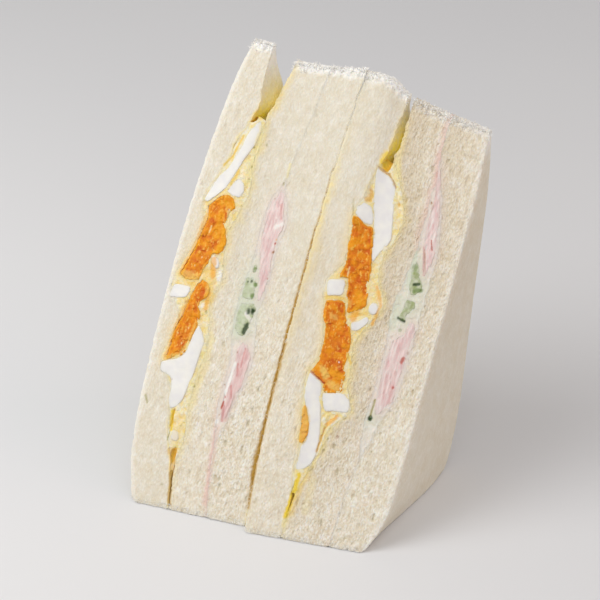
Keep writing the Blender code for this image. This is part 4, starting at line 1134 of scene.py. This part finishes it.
class Look:
    """A material put together as layers of colour, with coordinates that follow the cut."""

    def __init__(self, name, roughness, radius, coat=0.0, subsurface=0.3, specular=0.3):
        self.material = bpy.data.materials.new(name)
        self.material.use_nodes = True
        self.tree = self.material.node_tree
        self.shader = self.tree.nodes["Principled BSDF"]
        settings = {"Roughness": roughness, "Coat Weight": coat, "Coat Roughness": 0.25,
                    "Subsurface Weight": subsurface, "Subsurface Radius": radius,
                    "Subsurface Scale": MM, "Specular IOR Level": specular}
        for key, value in settings.items():
            self.shader.inputs[key].default_value = value
        self.coordinates = self.node("TexCoord").outputs["Object"]
        turned = self.node("Mapping", {"Vector": self.coordinates, "Rotation": (CUT_LEAN, 0.0, 0.0),
                                       "Scale": (1.0 / MM,) * 3})
        self.vector = turned.outputs[0]
        self.base = None

    def node(self, kind, inputs=None, **settings):
        """A new shader node with its settings, and its inputs as values or other nodes' sockets."""
        made = self.tree.nodes.new("ShaderNode" + kind)
        for key, value in settings.items():
            setattr(made, key, value)
        for key, value in (inputs or {}).items():
            if isinstance(value, bpy.types.NodeSocket):
                self.tree.links.new(value, made.inputs[key])
            else:
                made.inputs[key].default_value = value
        return made

    def mix(self, factor, first, second):
        """One colour over another, by a factor."""
        return self.node("Mix", {0: factor, 6: first, 7: second}, data_type="RGBA").outputs[2]

    def ranged(self, value, low, high, to_low=0.0, to_high=1.0):
        """A value's range from low to high stretched to another range."""
        return self.node("MapRange", {"Value": value, "From Min": low, "From Max": high,
                                      "To Min": to_low, "To Max": to_high}).outputs[0]

    def joined(self, first, second, operation="MULTIPLY"):
        """The product of two values, or what another operation makes of them."""
        return self.node("Math", {0: first, 1: second}, operation=operation).outputs[0]

    def painted(self, name):
        """The numbers stored on the mesh under that name."""
        return self.node("Attribute", attribute_name=name).outputs["Fac"]

    def texture(self, kind, scale, stretch=(1.0, 1.0, 1.0), **inputs):
        """A texture whose pattern repeats scale times a millimetre."""
        stretched = self.node("Mapping", {"Vector": self.vector, "Scale": stretch}).outputs[0]
        return self.node(kind, {"Vector": stretched, "Scale": scale, **inputs})

    def cloud(self, scale, detail, stretch=(1.0, 1.0, 1.0)):
        """Cloudy noise that repeats scale times a millimetre."""
        return self.texture("TexNoise", scale, stretch, Detail=detail).outputs["Fac"]

    def ground(self, value, low, high, first, second):
        """Starts the colour, going from the first to the second as the value goes up."""
        self.base = self.mix(self.ranged(value, low, high), colour(*first), colour(*second))

    def lay(self, shown, factor):
        """Lays a colour over what is there, by a factor."""
        self.base = self.mix(factor, self.base, colour(*shown))

    def cover(self, shown, value, low, high, most=1.0, share=None):
        """Lays a colour over what is there: none of it at low, the most at high."""
        factor = self.ranged(value, low, high, 0.0, most)
        self.lay(shown, factor if share is None else self.joined(factor, share))

    def bleed(self, amount):
        """Tints the colour by what has bled from the pieces of filling."""
        for name, (_, _, shown) in BLEEDS.items():
            self.lay(shown, self.joined(self.painted(name), amount))

    def finish(self, height, strength, distance):
        """Lays the marks over all and adds fine relief, its depth in millimetres."""
        for tint, (shown, _) in TINTS.items():
            self.lay(shown, self.painted(tint))
        bump = self.node("Bump", {"Height": height, "Strength": strength, "Distance": distance * MM})
        self.tree.links.new(self.base, self.shader.inputs["Base Color"])
        self.tree.links.new(bump.outputs[0], self.shader.inputs["Normal"])
        return self.material


def bread_material():
    """Soft white crumb: cream with paler walls, painted shade in the pores, and stains of egg and ham."""
    look = Look("bread_crumb", 0.9, (1.2, 1.0, 0.75), specular=0.2)
    mottle = look.cloud(0.22, 3.0)
    speckle = look.cloud(1.4, 2.0, (1.3, 1.3, 0.7))
    patch = look.cloud(0.42, 3.0, (1.2, 1.2, 0.8))
    coarse = look.painted("coarse")
    # Smooth crumb gets a darker cream than open crumb: painted shade standing in for the shade that open
    # crumb gets from its pores
    look.ground(mottle, 0.35, 0.65, (227, 219, 200), (231, 225, 210))
    smooth = look.base
    look.ground(mottle, 0.35, 0.65, (239, 229, 207), (243, 234, 217))
    look.base = look.mix(look.ranged(coarse, 0.25, 0.75), smooth, look.base)
    look.cover((251, 246, 236), patch, 0.53, 0.68, share=coarse)
    look.cover((226, 212, 188), patch, 0.47, 0.32, share=coarse)
    look.cover((253, 251, 244), speckle, 0.52, 0.66, 0.8, coarse)
    look.cover((222, 208, 182), speckle, 0.48, 0.34, 0.7, coarse)
    # Painted shade: a darker grey cream in the crumb's pits
    look.cover((204, 192, 162), look.painted("pit_shade"), 0.15, 0.7, 0.85)
    # Near white on the torn tip and the shreds, and painted highlight on the outer edges and the tops near
    # the tip
    look.cover((254, 253, 250), look.painted("torn"), 0.2, 1.0, 0.85)
    look.lay((209, 190, 158), look.joined(look.painted("warm"), 0.6))
    look.bleed(0.4)
    # Egg stain, pale at the cut and deeper yellow away from it; the deeper yellow inside the gaps is
    # partly painted shade
    stain = look.joined(look.painted("stain"), look.ranged(look.cloud(0.8, 3.0), 0.25, 0.6, 0.5, 1.0))
    tint = look.mix(look.painted("deep"), colour(250, 229, 160), colour(255, 233, 90))
    look.base = look.mix(stain, look.base, tint)
    grain = look.texture("TexVoronoi", 1.3, (1.3, 1.3, 0.8)).outputs["Distance"]
    rough = look.joined(grain, speckle, "ADD")
    return look.finish(look.joined(rough, look.ranged(coarse, 0.3, 1.0, 0.35, 1.0)), 0.9, 0.45)


def white_material():
    """Boiled egg white, smooth and slightly wet."""
    look = Look("egg_white_flesh", 0.4, (1.6, 1.5, 1.4), coat=0.1, subsurface=0.35, specular=0.5)
    look.ground(look.cloud(0.3, 2.0), 0.35, 0.65, (244, 242, 236), (236, 234, 233))
    look.cover((248, 238, 208), look.painted("rim"), 0.4, 1.0, 0.25)
    return look.finish(look.cloud(2.2, 2.0), 0.2, 0.06)


def yolk_material():
    """Boiled yolk: orange chunks with yellower dry edges and pale crumbs."""
    look = Look("egg_yolk_crumb", 0.55, (1.5, 0.7, 0.2), subsurface=0.15)
    chunks = look.texture("TexVoronoi", 0.5).outputs["Color"]
    chunk = look.node("SeparateColor", {"Color": chunks}).outputs[0]
    look.ground(look.cloud(0.4, 3.0), 0.36, 0.64, (212, 98, 0), (241, 148, 4))
    look.cover((248, 172, 20), chunk, 0.5, 1.0, 0.4)
    look.cover((204, 88, 0), chunk, 0.4, 0.0, 0.3)
    look.cover((247, 176, 36), look.painted("rim"), 0.2, 1.0, 0.6)
    look.cover((254, 200, 92), look.cloud(0.9, 2.0, (1.4, 1.4, 0.8)), 0.56, 0.68, 0.7)
    return look.finish(look.cloud(0.8, 3.0), 0.8, 0.6)


def mash_material():
    """Egg mash in mayonnaise: pale cream lumps, deeper yellow by the yolks and in the hollows."""
    look = Look("egg_mash_soft", 0.5, (1.5, 1.1, 0.5), coat=0.05, specular=0.35)
    fine = look.cloud(1.6, 3.0)
    look.ground(look.cloud(0.55, 4.0), 0.38, 0.62, (250, 227, 158), (249, 240, 214))
    look.cover((248, 210, 116), look.painted("lump"), 0.5, 0.8, 0.6)
    look.cover((253, 248, 232), fine, 0.55, 0.7, 0.6)
    look.lay((244, 236, 214), look.joined(look.painted("beside"), 0.6))
    look.bleed(0.5)
    look.lay((250, 210, 80), look.painted("deep"))
    return look.finish(fine, 1.0, 0.4)


def cream_material():
    """Pale dressing round the ham and cucumber, hardly apart from the bread."""
    look = Look("cream_soft", 0.6, (1.4, 1.1, 0.8))
    fine = look.cloud(1.6, 3.0, (1.2, 1.2, 0.7))
    look.ground(look.cloud(0.5, 4.0), 0.38, 0.62, (238, 230, 218), (233, 224, 208))
    look.cover((252, 250, 245), fine, 0.55, 0.7, 0.7)
    look.bleed(0.5)
    return look.finish(fine, 0.7, 0.3)


def ham_material():
    """Cooked ham on edge: pale pink with whiter streaks of fat."""
    look = Look("ham_meat", 0.45, (1.6, 0.9, 0.8), coat=0.1, specular=0.35)
    streak = look.cloud(0.9, 4.0, (1.0, 1.0, 0.25))
    look.ground(streak, 0.36, 0.64, (225, 192, 190), (240, 224, 219))
    look.cover((234, 206, 202), look.cloud(0.3, 2.0), 0.5, 0.7, 0.6)
    look.cover((238, 214, 206), look.painted("rim"), 0.1, 1.0, 0.8)
    return look.finish(look.cloud(2.0, 3.0, (1.0, 1.0, 0.4)), 0.6, 0.25)


def cucumber_material():
    """Cucumber: pale watery flesh and a darker green edge."""
    look = Look("cucumber_flesh", 0.45, (1.0, 1.4, 0.6), coat=0.1)
    look.ground(look.cloud(0.6, 4.0), 0.35, 0.65, (206, 211, 184), (156, 167, 112))
    look.cover((196, 206, 172), look.painted("rim"), 0.3, 1.0, 0.4)
    return look.finish(look.cloud(1.5, 2.0), 0.4, 0.15)


def floor_material():
    """A plain pale studio floor."""
    look = Look("studio_floor", 0.6, (1.0, 1.0, 1.0), subsurface=0.0, specular=0.5)
    cloud = look.node("TexNoise", {"Vector": look.coordinates, "Scale": 3.0}).outputs["Fac"]
    look.ground(cloud, 0.3, 0.7, (226, 227, 230), (230, 231, 233))
    look.tree.links.new(look.base, look.shader.inputs["Base Color"])
    return look.material


# Camera: seen from the right of the cut faces and above, from far off
VIEW_YAW = math.radians(25.2)
VIEW_PITCH = math.radians(29.1)
FOCAL_SHARE = 2600.0 / 600.0
SENSOR = 36.0
# The camera's own place in the layout, in millimetres
EYE = np.array((260.2, -597.8, 450.2))
# Soft square lights: azimuth measured like the camera's yaw, elevation, distance and size in
# metres, power and tint
LIGHTS = {
    "key": (-55.0, 48.0, 0.6, 0.45, 2.15, (1.0, 0.99, 0.965)),
    "fill": (30.0, 35.0, 1.2, 0.9, 0.95, (1.0, 0.97, 0.94)),
    "top_fill": (75.0, 66.0, 1.0, 0.7, 0.9, (1.0, 0.97, 0.94)),
    "side_fill": (105.0, 30.0, 1.2, 0.9, 2.25, (1.0, 0.74, 0.64)),
}
# What the lights aim at, and half the floor's side, in metres
AIM = Vector((0.0, 0.0, 0.05))
FLOOR_REACH = 3.0


def add_camera():
    """The camera at the photograph's angle."""
    data = bpy.data.cameras.new("camera")
    data.sensor_width = SENSOR
    data.lens = SENSOR * FOCAL_SHARE
    data.clip_start = 0.05
    data.clip_end = 20.0
    camera = linked("camera", data)
    camera.location = Vector((EYE - BASE) * MM)
    turn = Matrix.Rotation(VIEW_YAW, 4, "Z") @ Matrix.Rotation(math.pi / 2.0 - VIEW_PITCH, 4, "X")
    camera.rotation_euler = turn.to_euler()
    bpy.context.scene.camera = camera


def add_light(name, azimuth, elevation, distance, size, power, tint):
    """A square soft light turned towards the sandwich."""
    data = bpy.data.lights.new(name, "AREA")
    data.shape = "SQUARE"
    data.size = size
    data.energy = power
    data.color = tint
    light = linked(name, data)
    a, e = math.radians(azimuth), math.radians(elevation)
    away = Vector((math.sin(a) * math.cos(e), -math.cos(a) * math.cos(e), math.sin(e)))
    light.location = AIM + away * distance
    light.rotation_euler = away.to_track_quat("Z", "Y").to_euler()


def add_stage():
    """Floor, lights and surroundings."""
    mesh = bpy.data.meshes.new("floor")
    corners = [(-1.0, -1.0), (1.0, -1.0), (1.0, 1.0), (-1.0, 1.0)]
    mesh.from_pydata([(x * FLOOR_REACH, y * FLOOR_REACH, 0.0) for x, y in corners], [], [(0, 1, 2, 3)])
    mesh.materials.append(floor_material())
    floor = linked("floor", mesh)
    floor.location = (0.0, 0.0, -0.0002)
    for name, values in LIGHTS.items():
        add_light(name, *values)
    world = bpy.data.worlds.new("world")
    world.use_nodes = True
    background = world.node_tree.nodes["Background"]
    background.inputs["Color"].default_value = (1.0, 0.99, 0.98, 1.0)
    background.inputs["Strength"].default_value = 0.42
    bpy.context.scene.world = world
    bpy.context.scene.view_settings.view_transform = "Standard"


# Fillings: material, how far they stand out of the cut, bevel of the rim and size of the bites in
# it, all in millimetres, and relief
FILLINGS = {
    "egg_white": (white_material, 0.04, 0.05, 0.06, white_relief),
    "egg_yolk": (yolk_material, 0.1, 0.15, 0.16, yolk_relief),
    "ham": (ham_material, 0.0, 0.1, 0.16, ham_relief),
    "cucumber": (cucumber_material, -0.03, 0.05, 0.16, cucumber_relief),
}


def main():
    """The whole scene."""
    add_camera()
    bread = bread_material()
    for slice_of_bread in BREADS:
        make_bread(*slice_of_bread, bread)
    spreads = {"egg_mash": mash_material(), "cream": cream_material()}
    for layer, values in LAYERS.items():
        make_spread(layer, spreads[values[-1]])
    materials = {slot: values[0]() for slot, values in FILLINGS.items()}
    for name in PIECES:
        slot = name.rsplit("_", 1)[0]
        make_filling(name, materials[slot], slot, *FILLINGS[slot][1:])
    add_stage()


main()
